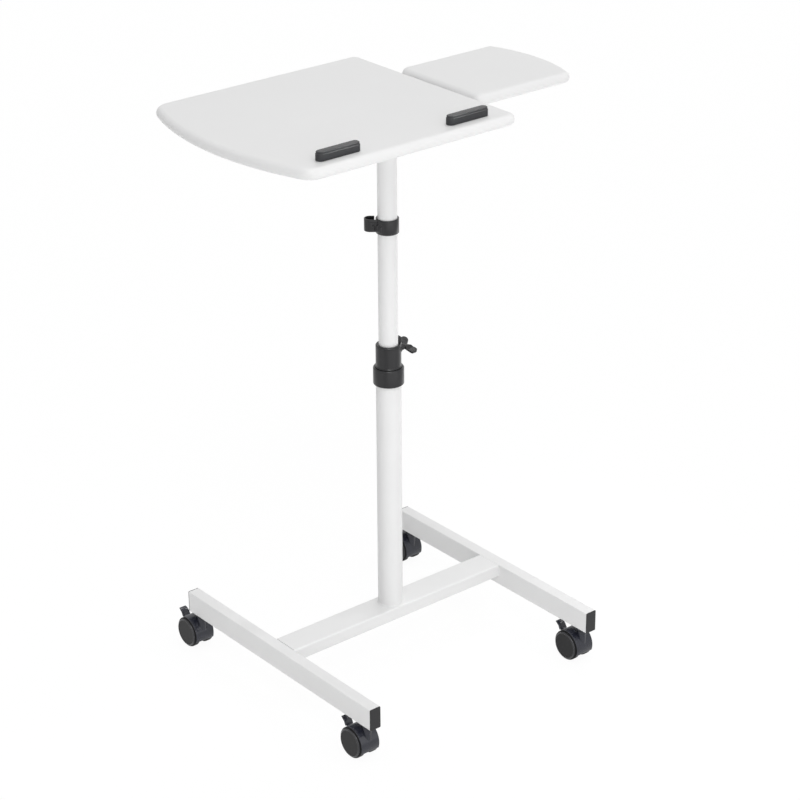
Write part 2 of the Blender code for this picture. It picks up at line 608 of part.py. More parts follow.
side_plate_x = SIDE_LEFT + 14 * MM + SIDE_PLATE_LENGTH / 2
side_plate = flat([rounded(SIDE_PLATE_LENGTH, SIDE_PLATE_DEPTH, 10 * MM)], PLATE / 2)
side_plate = shifted(side_plate, 0, 0, TOP_UNDERSIDE - GAP - PLATE / 2)
cheek_end = beam_right - CAP_LIP - 8 * MM - side_plate_x
for way in (-1, 1):
    y0 = BEAM_DEPTH / 2 + GAP
    side_plate = union(side_plate, box(6 * MM - SIDE_PLATE_LENGTH / 2, cheek_end,
                                       min(way * y0, way * (y0 + PLATE)), max(way * y0, way * (y0 + PLATE)),
                                       BEAM_BOTTOM + 3 * MM, TOP_UNDERSIDE - GAP - PLATE / 2))
piece("side_saddle", side_plate, PAINT, lift, side_plate_x)


def hood_mesh():
    """Hood about the axle: a shell over the wheels, a web between them and the upright stem housing.
    Angles run from the front, -Y, upwards."""
    shell = [(-HOOD_OUTER * cos(a), HOOD_OUTER * sin(a)) for a in steps(HOOD_FRONT, HOOD_BACK, 14)]
    shell += [(-HOOD_INNER * cos(a), HOOD_INNER * sin(a)) for a in steps(HOOD_BACK, HOOD_FRONT, 14)]
    mesh = along_x(flat([shell], HOOD_HALF))
    rim = (HOOD_INNER + HOOD_OUTER) / 2
    inset = radians(3)
    web = [(-rim * cos(a), rim * sin(a)) for a in steps(HOOD_FRONT + inset, HOOD_BACK - inset, 13)]
    web += [(PEDAL_PIVOT_Y + 6.5 * MM, PEDAL_PIVOT_Z - 3 * MM), (PEDAL_PIVOT_Y + 4 * MM, PEDAL_PIVOT_Z - 9 * MM)]
    web += [(AXLE_RADIUS * 3.3 * cos(a), AXLE_RADIUS * 3.3 * sin(a)) for a in steps(radians(-20), radians(-160), 8)]
    mesh = union(mesh, along_x(flat([web], WEB_HALF)))
    housing = shifted(rod(HOUSING_RADIUS, HOUSING_TOP - 30 * MM, HOUSING_TOP, 28), 0, -CASTER_TRAIL, 0)
    mesh = union(mesh, housing)
    slot_half = PEDAL_WIDTH / 2 - 2.1 * MM
    slot = box(-slot_half, slot_half, PEDAL_PIVOT_Y - 8 * MM, HOOD_OUTER * 1.3, PEDAL_PIVOT_Z - 8 * MM, HOOD_OUTER * 1.2)
    stem_way = shifted(rod(STEM_RADIUS + GAP, HOUSING_TOP - 23 * MM, HOUSING_TOP + 5 * MM), 0, -CASTER_TRAIL, 0)
    axle_way = along_x(rod(AXLE_RADIUS + GAP, -CASTER_HALF, CASTER_HALF))
    pin_way = shifted(along_x(rod(2.3 * MM, -CASTER_HALF, CASTER_HALF, 16)), 0, PEDAL_PIVOT_Y, PEDAL_PIVOT_Z)
    return cut(mesh, slot, stem_way, axle_way, pin_way)


def steps(start, end, count):
    return [start + (end - start) * i / count for i in range(count + 1)]


def wheel_mesh():
    """One wheel, turned about Z with its outer face on top and a blind hole for the axle below."""
    face = CASTER_HALF
    back = WHEEL_INNER_FACE
    rim = WHEEL_RADIUS
    edge = WHEEL_EDGE
    profile = [(0, face - 0.5 * MM), (rim - edge - 3.6 * MM, face - 0.5 * MM), (rim - edge - 2.6 * MM, face)]
    profile += [(rim - edge + edge * sin(a), face - edge + edge * cos(a)) for a in steps(0, pi / 2, 4)]
    profile += [(rim, back + 2 * MM), (rim - 2 * MM, back), (AXLE_RADIUS + GAP, back)]
    profile += [(AXLE_RADIUS + GAP, face - 3.2 * MM), (0, face - 3.2 * MM)]
    return turned(profile, 28)


def pedal_mesh():
    """Brake pedal about the axle: a hub in the hood's slot, and a tongue that curves up and back behind the hood."""
    tab_half = PEDAL_WIDTH / 2 - 2.5 * MM
    y = PEDAL_PIVOT_Y
    z = PEDAL_PIVOT_Z
    hub = shifted(along_x(rod(4.5 * MM, -tab_half, tab_half, 16)), 0, y, z)
    arm = [(y - 1 * MM, z - 4 * MM), (y + 8.7 * MM, z + 2 * MM), (y + 8.7 * MM, z + 6 * MM),
           (y + 4.7 * MM, z + 6 * MM), (y - 3 * MM, z + 3 * MM)]
    tip = PEDAL_REACH
    tongue = [(y + 8.7 * MM, z + 2.4 * MM), (y + 10.9 * MM, z + 5.9 * MM), (y + 12.1 * MM, z + 9.0 * MM),
              (y + 14.1 * MM, z + 11.7 * MM), (y + 16.7 * MM, z + 13.5 * MM), (tip, z + 15.0 * MM),
              (tip - 0.3 * MM, z + 16.2 * MM), (y + 15.6 * MM, z + 15.5 * MM), (y + 12.4 * MM, z + 13.6 * MM),
              (y + 9.6 * MM, z + 10.9 * MM), (y + 7.7 * MM, z + 7.8 * MM), (y + 5.2 * MM, z + 4.2 * MM)]
    tongue = along_x(flat([tongue], PEDAL_WIDTH / 2))
    pins = shifted(along_x(rod(2.0 * MM, GAP - WEB_HALF, WEB_HALF - GAP, 16)), 0, y, z)
    return union(hub, along_x(flat([arm], tab_half)), tongue, pins)


def stem_mesh():
    """Stem about its own axis, from the foot's inside down into the hood's housing, with a flange under the foot."""
    top = AXLE_DROP + TUBE_WALL + 18 * MM
    flange = AXLE_DROP - GAP
    low = HOUSING_TOP - 22 * MM
    return turned([(0, top), (STEM_RADIUS - 0.8 * MM, top), (STEM_RADIUS, top - 0.8 * MM), (STEM_RADIUS, flange),
                   (STEM_RADIUS * 1.8, flange), (STEM_RADIUS * 1.8, flange - STEM_FLANGE),
                   (STEM_RADIUS, flange - STEM_FLANGE), (STEM_RADIUS, low), (0, low)], 20)


# Casters: all four stand trailing backwards, with the pedals at the back
hood_shape = hood_mesh()
wheel_shape = along_x(wheel_mesh())
pedal_shape = pedal_mesh()
stem_shape = stem_mesh()
axle_end = CASTER_HALF - 3.6 * MM
axle_shape = along_x(rod(AXLE_RADIUS, -axle_end, axle_end))
for end, way in (("front", -1), ("back", 1)):
    for side, sign in (("left", -1), ("right", 1)):
        tag = end + "_" + side
        x = COLUMN_X + sign * FOOT_SPACING / 2
        y = COLUMN_Y + way * STEM_Y
        swivel = anchor("swivel_anchor_" + tag, x, y, WHEEL_RADIUS, base)
        axle = anchor("axle_anchor_" + tag, x, y + CASTER_TRAIL, WHEEL_RADIUS, swivel)
        piece("caster_stem_" + tag, stem_shape.copy(), STEEL, swivel)
        piece("caster_hood_" + tag, hood_shape.copy(), PLASTIC, axle)
        piece("caster_axle_" + tag, axle_shape.copy(), STEEL, axle)
        piece("wheel_left_" + tag, wheel_shape.copy(), WHEEL, axle, turn=(0, 0, pi))
        piece("wheel_right_" + tag, wheel_shape.copy(), WHEEL, axle)
        pivot = anchor("pedal_anchor_" + tag, x, y + CASTER_TRAIL + PEDAL_PIVOT_Y, WHEEL_RADIUS + PEDAL_PIVOT_Z, axle)
        pedal = pedal_shape.copy()
        piece("brake_pedal_" + tag, shifted(pedal, 0, -PEDAL_PIVOT_Y, -PEDAL_PIVOT_Z), PLASTIC, pivot)
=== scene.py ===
import json

import bmesh
import bpy
import numpy as np
from mathutils import Matrix, Vector


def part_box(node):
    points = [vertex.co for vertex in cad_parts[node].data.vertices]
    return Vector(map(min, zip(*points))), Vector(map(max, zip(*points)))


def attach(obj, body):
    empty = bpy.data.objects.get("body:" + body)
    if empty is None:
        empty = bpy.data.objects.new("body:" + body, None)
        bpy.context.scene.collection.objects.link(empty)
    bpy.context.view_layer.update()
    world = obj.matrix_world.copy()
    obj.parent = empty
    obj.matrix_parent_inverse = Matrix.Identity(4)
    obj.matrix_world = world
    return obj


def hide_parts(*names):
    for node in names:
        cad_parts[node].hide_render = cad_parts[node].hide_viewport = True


bl_info = {
    "name": "Rolling laptop stand",
    "version": (1, 0, 0),
    "blender": (4, 5, 0),
    "location": "3D View > Sidebar > Stand",
    "description": "Finished surfaces and materials for a rolling laptop stand, over its packed solids",
    "category": "Object",
}

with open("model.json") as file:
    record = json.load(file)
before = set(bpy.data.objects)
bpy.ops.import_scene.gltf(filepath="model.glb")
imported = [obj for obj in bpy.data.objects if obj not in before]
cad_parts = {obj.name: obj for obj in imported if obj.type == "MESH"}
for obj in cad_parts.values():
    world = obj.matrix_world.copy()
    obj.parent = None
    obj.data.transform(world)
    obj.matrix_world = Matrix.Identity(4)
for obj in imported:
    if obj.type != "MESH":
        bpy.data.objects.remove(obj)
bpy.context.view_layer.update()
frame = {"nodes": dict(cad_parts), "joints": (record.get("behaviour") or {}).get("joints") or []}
JOINTS = {joint["name"]: joint for joint in frame["joints"]}
CORNERS = ("front_left", "front_right", "back_left", "back_right")
COLUMN = np.array(JOINTS["clip_turn"]["pos_m"][:2] + [0.0])
HINGE = np.array(JOINTS["top_tilt"]["pos_m"])
SCREW = np.array(JOINTS["wing_screw_turn"]["pos_m"])

MM = 0.001
QUARTER = np.pi / 2

# Turns that lay a shape made along Z along X or along Y instead.
LAID_X = np.array([[0, 0, 1], [1, 0, 0], [0, 1, 0]], float)
LAID_Y = np.array([[1, 0, 0], [0, 0, -1], [0, 1, 0]], float)
UPRIGHT = np.eye(3)

# Room between pieces that meet, and the small edge of a cut tube.
PLAY = 0.3 * MM
CUT_EDGE = 0.3 * MM

# Weld beads: distance between ripples, and as shares of the leg a ripple's height and the middle's place.
WELD_PITCH = 2.4 * MM
WELD_RIPPLE = 0.07
WELD_OFFSET = 0.12

# Materials by finish, filled by the first operator.
FINISH = {}


def linear(hex_colour):
    """sRGB hex to linear RGB: c / 12.92 below 0.04045, else ((c + 0.055) / 1.055) to the power 2.4."""
    c = np.array([int(hex_colour[i:i + 2], 16) for i in (1, 3, 5)]) / 255
    return tuple(np.where(c <= 0.04045, c / 12.92, ((c + 0.055) / 1.055) ** 2.4).tolist())


def turn_x(angle):
    """Rotation matrix about X."""
    c, s = np.cos(angle), np.sin(angle)
    return np.array([[1, 0, 0], [0, c, -s], [0, s, c]])


def turn_z(angle):
    """Rotation matrix about Z."""
    c, s = np.cos(angle), np.sin(angle)
    return np.array([[c, -s, 0], [s, c, 0], [0, 0, 1]])


def node_box(node):
    """Lowest and highest corner of a CAD node as arrays."""
    low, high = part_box(node)
    return np.array(low), np.array(high)


def midpoint(low, high, height):
    """Middle of a box in plan, at a height."""
    return (low[0] + high[0]) / 2, (low[1] + high[1]) / 2, height


# Shapes are (points, quads, flat ends), all as arrays.


def skin(points, wrap_rows=False):
    """Closed shape from rows of points that each run once round the piece.
    Quad (i, j) joins rows i and i + 1 at columns j and j + 1, and the last column meets the first.
    With wrap_rows the last row meets the first; otherwise the first and last rows are filled flat."""
    rows, columns = points.shape[:2]
    i, j = np.meshgrid(np.arange(rows if wrap_rows else rows - 1), np.arange(columns), indexing="ij")
    below, beside = (i + 1) % rows, (j + 1) % columns
    corners = [i * columns + j, i * columns + beside, below * columns + beside, below * columns + j]
    quads = np.stack(corners, axis=-1).reshape(-1, 4)
    ends = [] if wrap_rows else [np.arange(columns)[::-1], np.arange(columns) + (rows - 1) * columns]
    return points.reshape(-1, 3), quads, ends


def merged(*shapes):
    """Several shapes as one: points in a row, faces counted on from the points before them."""
    starts = np.cumsum([0] + [len(shape[0]) for shape in shapes])
    points = np.concatenate([shape[0] for shape in shapes])
    quads = np.concatenate([shape[1] + start for shape, start in zip(shapes, starts)])
    ends = [end + start for shape, start in zip(shapes, starts) for end in shape[2]]
    return points, quads, ends


def placed(shape, turn=UPRIGHT, shift=(0, 0, 0)):
    """A shape turned by a matrix about the origin, then shifted."""
    return shape[0] @ np.asarray(turn).T + np.asarray(shift), shape[1], shape[2]


def arc(centre, radius, start, end, count):
    """Points of a circle from one angle to another, both included: centre + radius (cos a, sin a)."""
    angle = np.linspace(start, end, count)
    return np.stack([centre[0] + radius * np.cos(angle), centre[1] + radius * np.sin(angle)], axis=1)


def softened(corners, reach, count=6):
    """Polygon whose corners are eased by (1-t)^2 a + 2t(1-t) corner + t^2 b.
    Points a and b lie at reach before and after the corner on its two edges."""
    corners = np.asarray(corners, float)
    reach = np.broadcast_to(np.asarray(reach, float), len(corners))[:, None]
    before = np.roll(corners, 1, axis=0) - corners
    after = np.roll(corners, -1, axis=0) - corners
    a = corners + before / np.linalg.norm(before, axis=1, keepdims=True) * reach
    b = corners + after / np.linalg.norm(after, axis=1, keepdims=True) * reach
    t = np.linspace(0, 1, count)[None, :, None]
    curve = (1 - t) ** 2 * a[:, None] + 2 * t * (1 - t) * corners[:, None] + t ** 2 * b[:, None]
    return curve.reshape(-1, 2)


def rounded(width, height, radius, count=8):
    """Rectangle about the origin with quarter-round corners, anticlockwise."""
    x, y = width / 2 - radius, height / 2 - radius
    centres = ((x, y), (-x, y), (-x, -y), (x, -y))
    corners = [arc(c, radius, k * QUARTER, (k + 1) * QUARTER, count) for k, c in enumerate(centres)]
    return np.concatenate(corners)


def band(c0, r0, c1, r1, count):
    """Outline of a belt stretched round two circles; the tangent leans by acos((r0 - r1) / distance)."""
    dx, dy = c1[0] - c0[0], c1[1] - c0[1]
    away, lean = np.arctan2(dy, dx), np.arccos((r0 - r1) / np.hypot(dx, dy))
    far = arc(c1, r1, away - lean, away + lean, count)
    near = arc(c0, r0, away + lean, away + 2 * np.pi - lean, count)
    return np.concatenate([far, near])


def outward(outline):
    """Unit normals of an anticlockwise outline, square to the chord between each point's neighbours."""
    chord = np.roll(outline, -1, axis=0) - np.roll(outline, 1, axis=0)
    normal = np.stack([chord[:, 1], -chord[:, 0]], axis=1)
    return normal / np.linalg.norm(normal, axis=1, keepdims=True)


def prism(outline, layers):
    """Outline carried along Z; each layer (inset, height) draws it inwards along its normals there."""
    layers = np.asarray(layers, float)
    flat = outline[None] - layers[:, 0, None, None] * outward(outline)[None]
    height = np.broadcast_to(layers[:, 1, None, None], flat.shape[:2] + (1,))
    return skin(np.concatenate([flat, height], axis=2))


def soft_ends(low, high, edge, flat=0.8 * MM, count=6):
    """Layers of a prism with quarter-round edges: inset e (1 - sin t) at e (1 - cos t) from each end.
    A flat ring inside each edge keeps the ends flat under smooth shading."""
    t = np.linspace(0, QUARTER, count)
    inset, rise = edge * (1 - np.sin(t)), edge * (1 - np.cos(t))
    lower = np.stack([inset, low + rise], axis=1)
    upper = np.stack([inset, high - rise], axis=1)[::-1]
    return np.concatenate([[[edge + flat, low]], lower, upper, [[edge + flat, high]]])


def turned(profile, steps, closed=False):
    """Profile of (radius, height) points carried round Z: (r cos a, r sin a, h)."""
    profile = np.asarray(profile, float)
    angle = np.linspace(0, 2 * np.pi, steps, endpoint=False)
    radius = profile[:, 0, None]
    height = np.broadcast_to(profile[:, 1, None], (len(profile), steps))
    return skin(np.stack([radius * np.cos(angle), radius * np.sin(angle), height], axis=2), closed)


def pin(radius, low, high, edge, steps=48):
    """Solid round bar along Z with quarter-round ends."""
    layers = soft_ends(low, high, edge, min(edge, radius - edge) * 0.5)
    return turned(np.stack([radius - layers[:, 0], layers[:, 1]], axis=1), steps)


def tube(outer, inner, low, high, edge=CUT_EDGE):
    """Round tube along Z with small chamfers on its four rims."""
    profile = [(outer, low + edge), (outer, high - edge), (outer - edge, high), (inner + edge, high),
               (inner, high - edge), (inner, low + edge), (inner + edge, low), (outer - edge, low)]
    return turned(profile, 96, True)


def tapered(outline, half, edge, count=5):
    """Outline in Y and Z carried along X to a half width of its own at every point.
    At the sides x = half - e + e sin t while the outline draws in by e (1 - cos t)."""
    t = np.concatenate([np.linspace(-QUARTER, 0, count), np.linspace(0, QUARTER, count)])[:, None]
    side = np.repeat([-1.0, 1.0], count)[:, None]
    x = side * (half - edge)[None] + edge * np.sin(t)
    flat = outline[None] - (edge * (1 - np.cos(t)))[..., None] * outward(outline)[None]
    return skin(np.concatenate([x[..., None], flat], axis=2))


def bead(path, out, up, leg):
    """Weld bead along a closed path: a round of radius leg (1 + ripple cos(2 pi s / pitch)), s the way along.
    The unit directions out and up lay out the round, slightly off the inner corner."""
    step = np.linalg.norm(np.roll(path, -1, axis=0) - path, axis=1)
    way = np.concatenate([[0], np.cumsum(step)[:-1]])
    ripples = np.round(step.sum() / WELD_PITCH)
    radius = leg * (1 + WELD_RIPPLE * np.cos(2 * np.pi * ripples * way / step.sum()))
    angle = np.linspace(0, 2 * np.pi, 12, endpoint=False)[None, :, None]
    ring = np.cos(angle) * out[:, None] + np.sin(angle) * np.broadcast_to(up, path.shape)[:, None]
    centre = path + WELD_OFFSET * leg[:, None] * (out + up)
    return skin(centre[:, None] + radius[:, None, None] * ring, True)


def piece(name, shape, look, body, nodes=(), sharp=40):
    """Puts a shape into a mesh object that rides on a body and stands for the named CAD nodes."""
    points, quads, ends = shape
    finish = FINISH[look]
    mesh = bpy.data.meshes.new(name)
    mesh.from_pydata(points.tolist(), [], quads.tolist() + [end.tolist() for end in ends])
    work = bmesh.new()
    work.from_mesh(mesh)
    bmesh.ops.recalc_face_normals(work, faces=work.faces)
    work.to_mesh(mesh)
    work.free()
    mesh.shade_smooth()
    mesh.set_sharp_from_angle(angle=np.radians(sharp))
    mesh.materials.append(finish)
    obj = bpy.data.objects.new(name, mesh)
    bpy.context.scene.collection.objects.link(obj)
    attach(obj, body)
    if nodes:
        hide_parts(*nodes)


def dress(look, *nodes):
    """Gives CAD nodes that keep their own shape a finish."""
    for node in nodes:
        slots = frame["nodes"][node].data.materials
        slots.clear()
        slots.append(FINISH[look])


# Materials


def add(tree, kind, inputs=None, **settings):
    """Adds a node, sets its own settings, and sets or links its inputs by name or number."""
    item = tree.nodes.new(kind)
    for key, value in settings.items():
        setattr(item, key, value)
    for key, value in (inputs or {}).items():
        if isinstance(value, bpy.types.NodeSocket):
            tree.links.new(value, item.inputs[key])
        else:
            item.inputs[key].default_value = value
    return item


def new_finish(name, slot, colour, ior=1.5, metallic=0.0, level=0.5):
    """A material with its shader's even values set, and the object coordinates its patterns read."""
    found = bpy.data.materials.new(name)
    found["slot"] = slot
    found.use_nodes = True
    found.diffuse_color = (*colour, 1)
    tree = found.node_tree
    shader = tree.nodes["Principled BSDF"]
    shader.inputs["IOR"].default_value = ior
    shader.inputs["Metallic"].default_value = metallic
    shader.inputs["Specular IOR Level"].default_value = level
    place = add(tree, "ShaderNodeTexCoord").outputs["Object"]
    return found, tree, shader, place


def scaled(colour, amount):
    """A colour with every channel times an amount."""
    return tuple(channel * amount for channel in colour)


def shade_between(tree, factor, colour, low, high):
    """A colour that runs with a factor from low to high times itself."""
    ramp = add(tree, "ShaderNodeValToRGB", {"Fac": factor})
    ramp.color_ramp.elements[0].color = (*scaled(colour, low), 1)
    ramp.color_ramp.elements[1].color = (*scaled(colour, high), 1)
    return ramp.outputs["Color"]


def link_finish(tree, shader, tone, gloss=None, bump=None):
    """Links the colour of a finish, and its roughness and relief where they vary, to its shader."""
    for socket, source in (("Base Color", tone), ("Roughness", gloss), ("Normal", bump)):
        if source is not None:
            tree.links.new(source, shader.inputs[socket])


def powder_coat(colour):
    """Epoxy powder coat baked on steel tube: satin white, a faint orange peel and a slow drift in tone."""
    found, tree, shader, place = new_finish("powder_coated_steel_white", "white_powder_coat", colour)
    # Real orange peel is about 1.5 mm from crest to crest; it is drawn at 5 mm so that it shows at all.
    peel = add(tree, "ShaderNodeTexNoise", {"Vector": place, "Scale": 1 / (5 * MM), "Detail": 2.0})
    drift = add(tree, "ShaderNodeTexNoise", {"Vector": place, "Scale": 1 / (90 * MM), "Detail": 3.0})
    tone = shade_between(tree, drift.outputs["Fac"], colour, 0.965, 1.02)
    gloss = add(tree, "ShaderNodeMapRange", {"Value": peel.outputs["Fac"], "To Min": 0.34, "To Max": 0.46})
    relief = {"Height": peel.outputs["Fac"], "Strength": 0.05, "Distance": 0.3 * MM}
    bump = add(tree, "ShaderNodeBump", relief)
    link_finish(tree, shader, tone, gloss.outputs["Result"], bump.outputs["Normal"])
    return found


def pressed_foil(colour):
    """White vinyl foil pressed over fibreboard: a soft even sheen, a fine emboss and barely clouded white."""
    found, tree, shader, place = new_finish("vinyl_foil_pressed_on_board", "white_laminate", colour, 1.52)
    # The emboss of such foil is about 0.4 mm; it is drawn at 2.5 mm so that it shows.
    emboss = add(tree, "ShaderNodeTexNoise", {"Vector": place, "Scale": 1 / (2.5 * MM), "Detail": 3.0})
    cloud = add(tree, "ShaderNodeTexNoise", {"Vector": place, "Scale": 1 / (140 * MM), "Detail": 4.0})
    tone = shade_between(tree, cloud.outputs["Fac"], colour, 0.97, 1.015)
    gloss = add(tree, "ShaderNodeMapRange", {"Value": cloud.outputs["Fac"], "To Min": 0.36, "To Max": 0.5})
    relief = {"Height": emboss.outputs["Fac"], "Strength": 0.06, "Distance": 0.2 * MM}
    bump = add(tree, "ShaderNodeBump", relief)
    link_finish(tree, shader, tone, gloss.outputs["Result"], bump.outputs["Normal"])
    return found


def moulded(name, slot, colour, grain, level, smooth, rough, strength):
    """Injection moulded plastic: spark-eroded grain of a given size, and a tone that varies with the flow.
    The grain's pits swallow part of the mirror light, so a grained face has a level below the usual 0.5."""
    found, tree, shader, place = new_finish(name, slot, colour, level=level)
    erode = add(tree, "ShaderNodeTexNoise", {"Vector": place, "Scale": 1 / grain, "Detail": 3.0})
    flow = add(tree, "ShaderNodeTexNoise", {"Vector": place, "Scale": 1 / (24 * MM), "Detail": 3.0})
    tone = shade_between(tree, flow.outputs["Fac"], colour, 0.84, 1.14)
    spread = {"Value": erode.outputs["Fac"], "To Min": smooth, "To Max": rough}
    gloss = add(tree, "ShaderNodeMapRange", spread)
    relief = {"Height": erode.outputs["Fac"], "Strength": strength, "Distance": 0.2 * MM}
    bump = add(tree, "ShaderNodeBump", relief)
    link_finish(tree, shader, tone, gloss.outputs["Result"], bump.outputs["Normal"])
    return found


def stop_rubber(colour):
    """Moulded thermoplastic rubber: a dull grey skin, with fine ribs across its length."""
    found, tree, shader, place = new_finish("moulded_rubber_grey", "charcoal_rubber", colour, level=0.18)
    shader.inputs["Roughness"].default_value = 0.2
    mottle = add(tree, "ShaderNodeTexNoise", {"Vector": place, "Scale": 1 / (6 * MM), "Detail": 4.0})
    # Ribs every 3 mm along X: a wave texture's bands are 2 pi apart, at a scale of 20 to the unit.
    wave = {"Vector": place, "Scale": 2 * np.pi / 20 / (3 * MM)}
    ribs = add(tree, "ShaderNodeTexWave", wave, bands_direction="X")
    tone = shade_between(tree, mottle.outputs["Fac"], colour, 0.86, 1.12)
    relief = {"Height": ribs.outputs["Fac"], "Strength": 0.05, "Distance": 0.25 * MM}
    bump = add(tree, "ShaderNodeBump", relief)
    link_finish(tree, shader, tone, bump=bump.outputs["Normal"])
    return found


def zinc_plate(colour):
    """Bright zinc on turned or pressed steel: grey metal, clouded where the plating differs in thickness."""
    found, tree, shader, place = new_finish("zinc_plated_steel", "zinc_plated_steel", colour, metallic=1.0)
    cloud = add(tree, "ShaderNodeTexNoise", {"Vector": place, "Scale": 1 / (5 * MM), "Detail": 4.0})
    tone = shade_between(tree, cloud.outputs["Fac"], colour, 0.85, 1.1)
    gloss = add(tree, "ShaderNodeMapRange", {"Value": cloud.outputs["Fac"], "To Min": 0.25, "To Max": 0.45})
    link_finish(tree, shader, tone, gloss.outputs["Result"])
    return found


# Injection mouldings: finish, material, slot, size of the grain, level of the reflection, lowest and highest
# roughness, and strength of the relief. Real grain is about 0.3 mm; it is drawn coarser so that it shows.
MOULDINGS = (
    ("shell", "moulded_abs_grey", "dark_grey_plastic", 1.6 * MM, 0.36, 0.24, 0.36, 0.1),
    ("hood", "moulded_nylon_hood", "dark_grey_plastic", 1.6 * MM, 0.5, 0.16, 0.28, 0.06),
    ("disc", "moulded_nylon_wheel", "black_nylon", 1.8 * MM, 0.2, 0.28, 0.42, 0.08),
    # The rim: the disc's nylon with more gloss, in a lighter tone as a painted highlight.
    ("rim", "polished_nylon_rim", "black_nylon", 1.8 * MM, 0.5, 0.16, 0.24, 0.03),
    # The tread: black nylon, darker than the disc also as painted shade of the gap under the hood.
    ("tread", "moulded_nylon_tread", "black_nylon", 1.8 * MM, 0.15, 0.4, 0.55, 0.08),
)


def a_length(name, description, default, top):
    """A length that a user may change, in metres."""
    return bpy.props.FloatProperty(name=name, description=description, default=default, min=0.0, max=top,
                                   precision=4, unit="LENGTH", subtype="DISTANCE")


def a_colour(name, description, default):
    """A colour that a user may change, given as sRGB hex."""
    return bpy.props.FloatVectorProperty(name=name, description=description, default=linear(default), size=3,
                                         min=0.0, max=1.0, subtype="COLOR")


class StandSizes(bpy.types.PropertyGroup):
    """Sizes of the visible detail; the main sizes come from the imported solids."""

    bow_main: a_length("Main bow", "Radius of the main top's bowed edge", 530 * MM, 3.0)
    bow_side: a_length("Side bow", "Radius of the side top's bowed edge", 266 * MM, 3.0)
    corner_bow_main: a_length("Main bow corner", "Corner radius beside the main top's bow", 32 * MM, 0.1)
    corner_bow_side: a_length("Side bow corner", "Corner radius beside the side top's bow", 12 * MM, 0.1)
    corner: a_length("Straight corner", "Corner radius beside a top's straight edge", 16 * MM, 0.1)
    nose: a_length("Bullnose", "Radius of the rounded edge of both tops", 9.5 * MM, 0.02)
    ledge: a_length("Stop ledge", "Depth of the ledge round each stop, below its crown", 1.0 * MM, 0.002)
    tube_corner: a_length("Tube corner", "Corner radius of the feet, crossbar and beam", 2.0 * MM, 0.01)
    cap_lip: a_length("Cap lip", "Thickness of the end caps' lips", 1.3 * MM, 0.01)
    weld: a_length("Weld", "Leg of the weld beads", 1.3 * MM, 0.005)
    wall: a_length("Tube wall", "Wall of the column tubes", 1.5 * MM, 0.01)


class StandColours(bpy.types.PropertyGroup):
    """Colours of the finishes."""

    coat: a_colour("Powder coat", "Feet, crossbar, column and beam", "#E8E8E8")
    foil: a_colour("Foil", "Both tops", "#E6E6E6")
    shell: a_colour("Grey plastic", "Caps, collar, clip and knobs", "#202022")
    # Dark grey with a blue tint; the tint is a painted reflection of bluish light.
    hood: a_colour("Caster hood", "Hoods, pedals and stem covers of the casters", "#22242E")
    disc: a_colour("Caster disc", "Outer discs of the wheels", "#1A1A1B")
    # Lighter than the disc's colour: a painted highlight on the rims.
    rim: a_colour("Caster rim", "Polished rims of the wheels' discs", "#26262A")
    # Darker than the disc: the tread's own black, and painted shade of the gap between wheel and hood.
    tread: a_colour("Caster tread", "Treads of the wheels", "#0C0C0E")
    rubber: a_colour("Rubber", "Stops and bumpers", "#3D3E40")
    zinc: a_colour("Zinc", "Pins, rods and screws", "#B4B6B8")
    floor: a_colour("Floor", "Floor under the stand", "#F4F4F4")


class StandSettings(bpy.types.PropertyGroup):
    """All settings of the stand."""

    sizes: bpy.props.PointerProperty(
        type=StandSizes, name="Sizes", description="Sizes of the visible detail")
    colours: bpy.props.PointerProperty(
        type=StandColours, name="Colours", description="Colours of the finishes")


class STAND_OT_finishes(bpy.types.Operator):
    """Makes the materials that every piece shares"""

    bl_idname = "stand.finishes"
    bl_label = "Finishes"

    def execute(self, context):
        colours = context.scene.stand.colours
        FINISH["coat"] = powder_coat(tuple(colours.coat))
        FINISH["foil"] = pressed_foil(tuple(colours.foil))
        for finish, name, slot, *look in MOULDINGS:
            FINISH[finish] = moulded(name, slot, tuple(getattr(colours, finish)), *look)
        FINISH["rubber"] = stop_rubber(tuple(colours.rubber))
        FINISH["zinc"] = zinc_plate(tuple(colours.zinc))
        return {"FINISHED"}


def top_plan(straight, crown, depth, bow, corner, bow_corner):
    """Plan of a top, anticlockwise: a straight edge, two square edges, and an edge on a circle of radius bow.
    A bow corner touches bow and square edge: its centre lies bow - bow_corner from the bow's centre."""
    side, reach, half = np.sign(crown - straight), abs(crown - straight), depth / 2
    level, centre = half - bow_corner, reach - bow
    middle = centre + np.sqrt((bow - bow_corner) ** 2 - level ** 2)
    touch = np.arcsin(level / (bow - bow_corner))
    loop = np.concatenate([
        arc((corner, corner - half), corner, -2 * QUARTER, -QUARTER, 16),
        arc((middle, -level), bow_corner, -QUARTER, -touch, 20),
        arc((centre, 0), bow, -touch, touch, 90)[1:-1],
        arc((middle, level), bow_corner, touch, QUARTER, 20),
        arc((corner, half - corner), corner, QUARTER, 2 * QUARTER, 16)])
    return loop * side + (straight, 0)


class STAND_OT_tops(bpy.types.Operator):
    """Makes both tops as boards with a bullnose all round"""

    bl_idname = "stand.tops"
    bl_label = "Tops"

    def execute(self, context):
        s = context.scene.stand.sizes
        for node, body, bow, bow_corner, crown_first in (
                ("main_top", "main_top", s.bow_main, s.corner_bow_main, True),
                ("side_top", "lift", s.bow_side, s.corner_bow_side, False)):
            low, high = node_box(node)
            straight, crown = (high[0], low[0]) if crown_first else (low[0], high[0])
            plan = top_plan(straight, crown, high[1] - low[1], bow, s.corner, bow_corner)
            board = prism(plan, soft_ends(low[2], high[2], s.nose, 2 * MM, 12))
            board = placed(board, shift=(0, (low[1] + high[1]) / 2, 0))
            piece(node + "_board", board, "foil", body, (node,))
        return {"FINISHED"}


# The ledge of a stop: its drop below the top, and its rise per depth, which is a slope of 40 degrees.
LEDGE_DROP = 4.4 * MM
LEDGE_SLOPE = 0.84


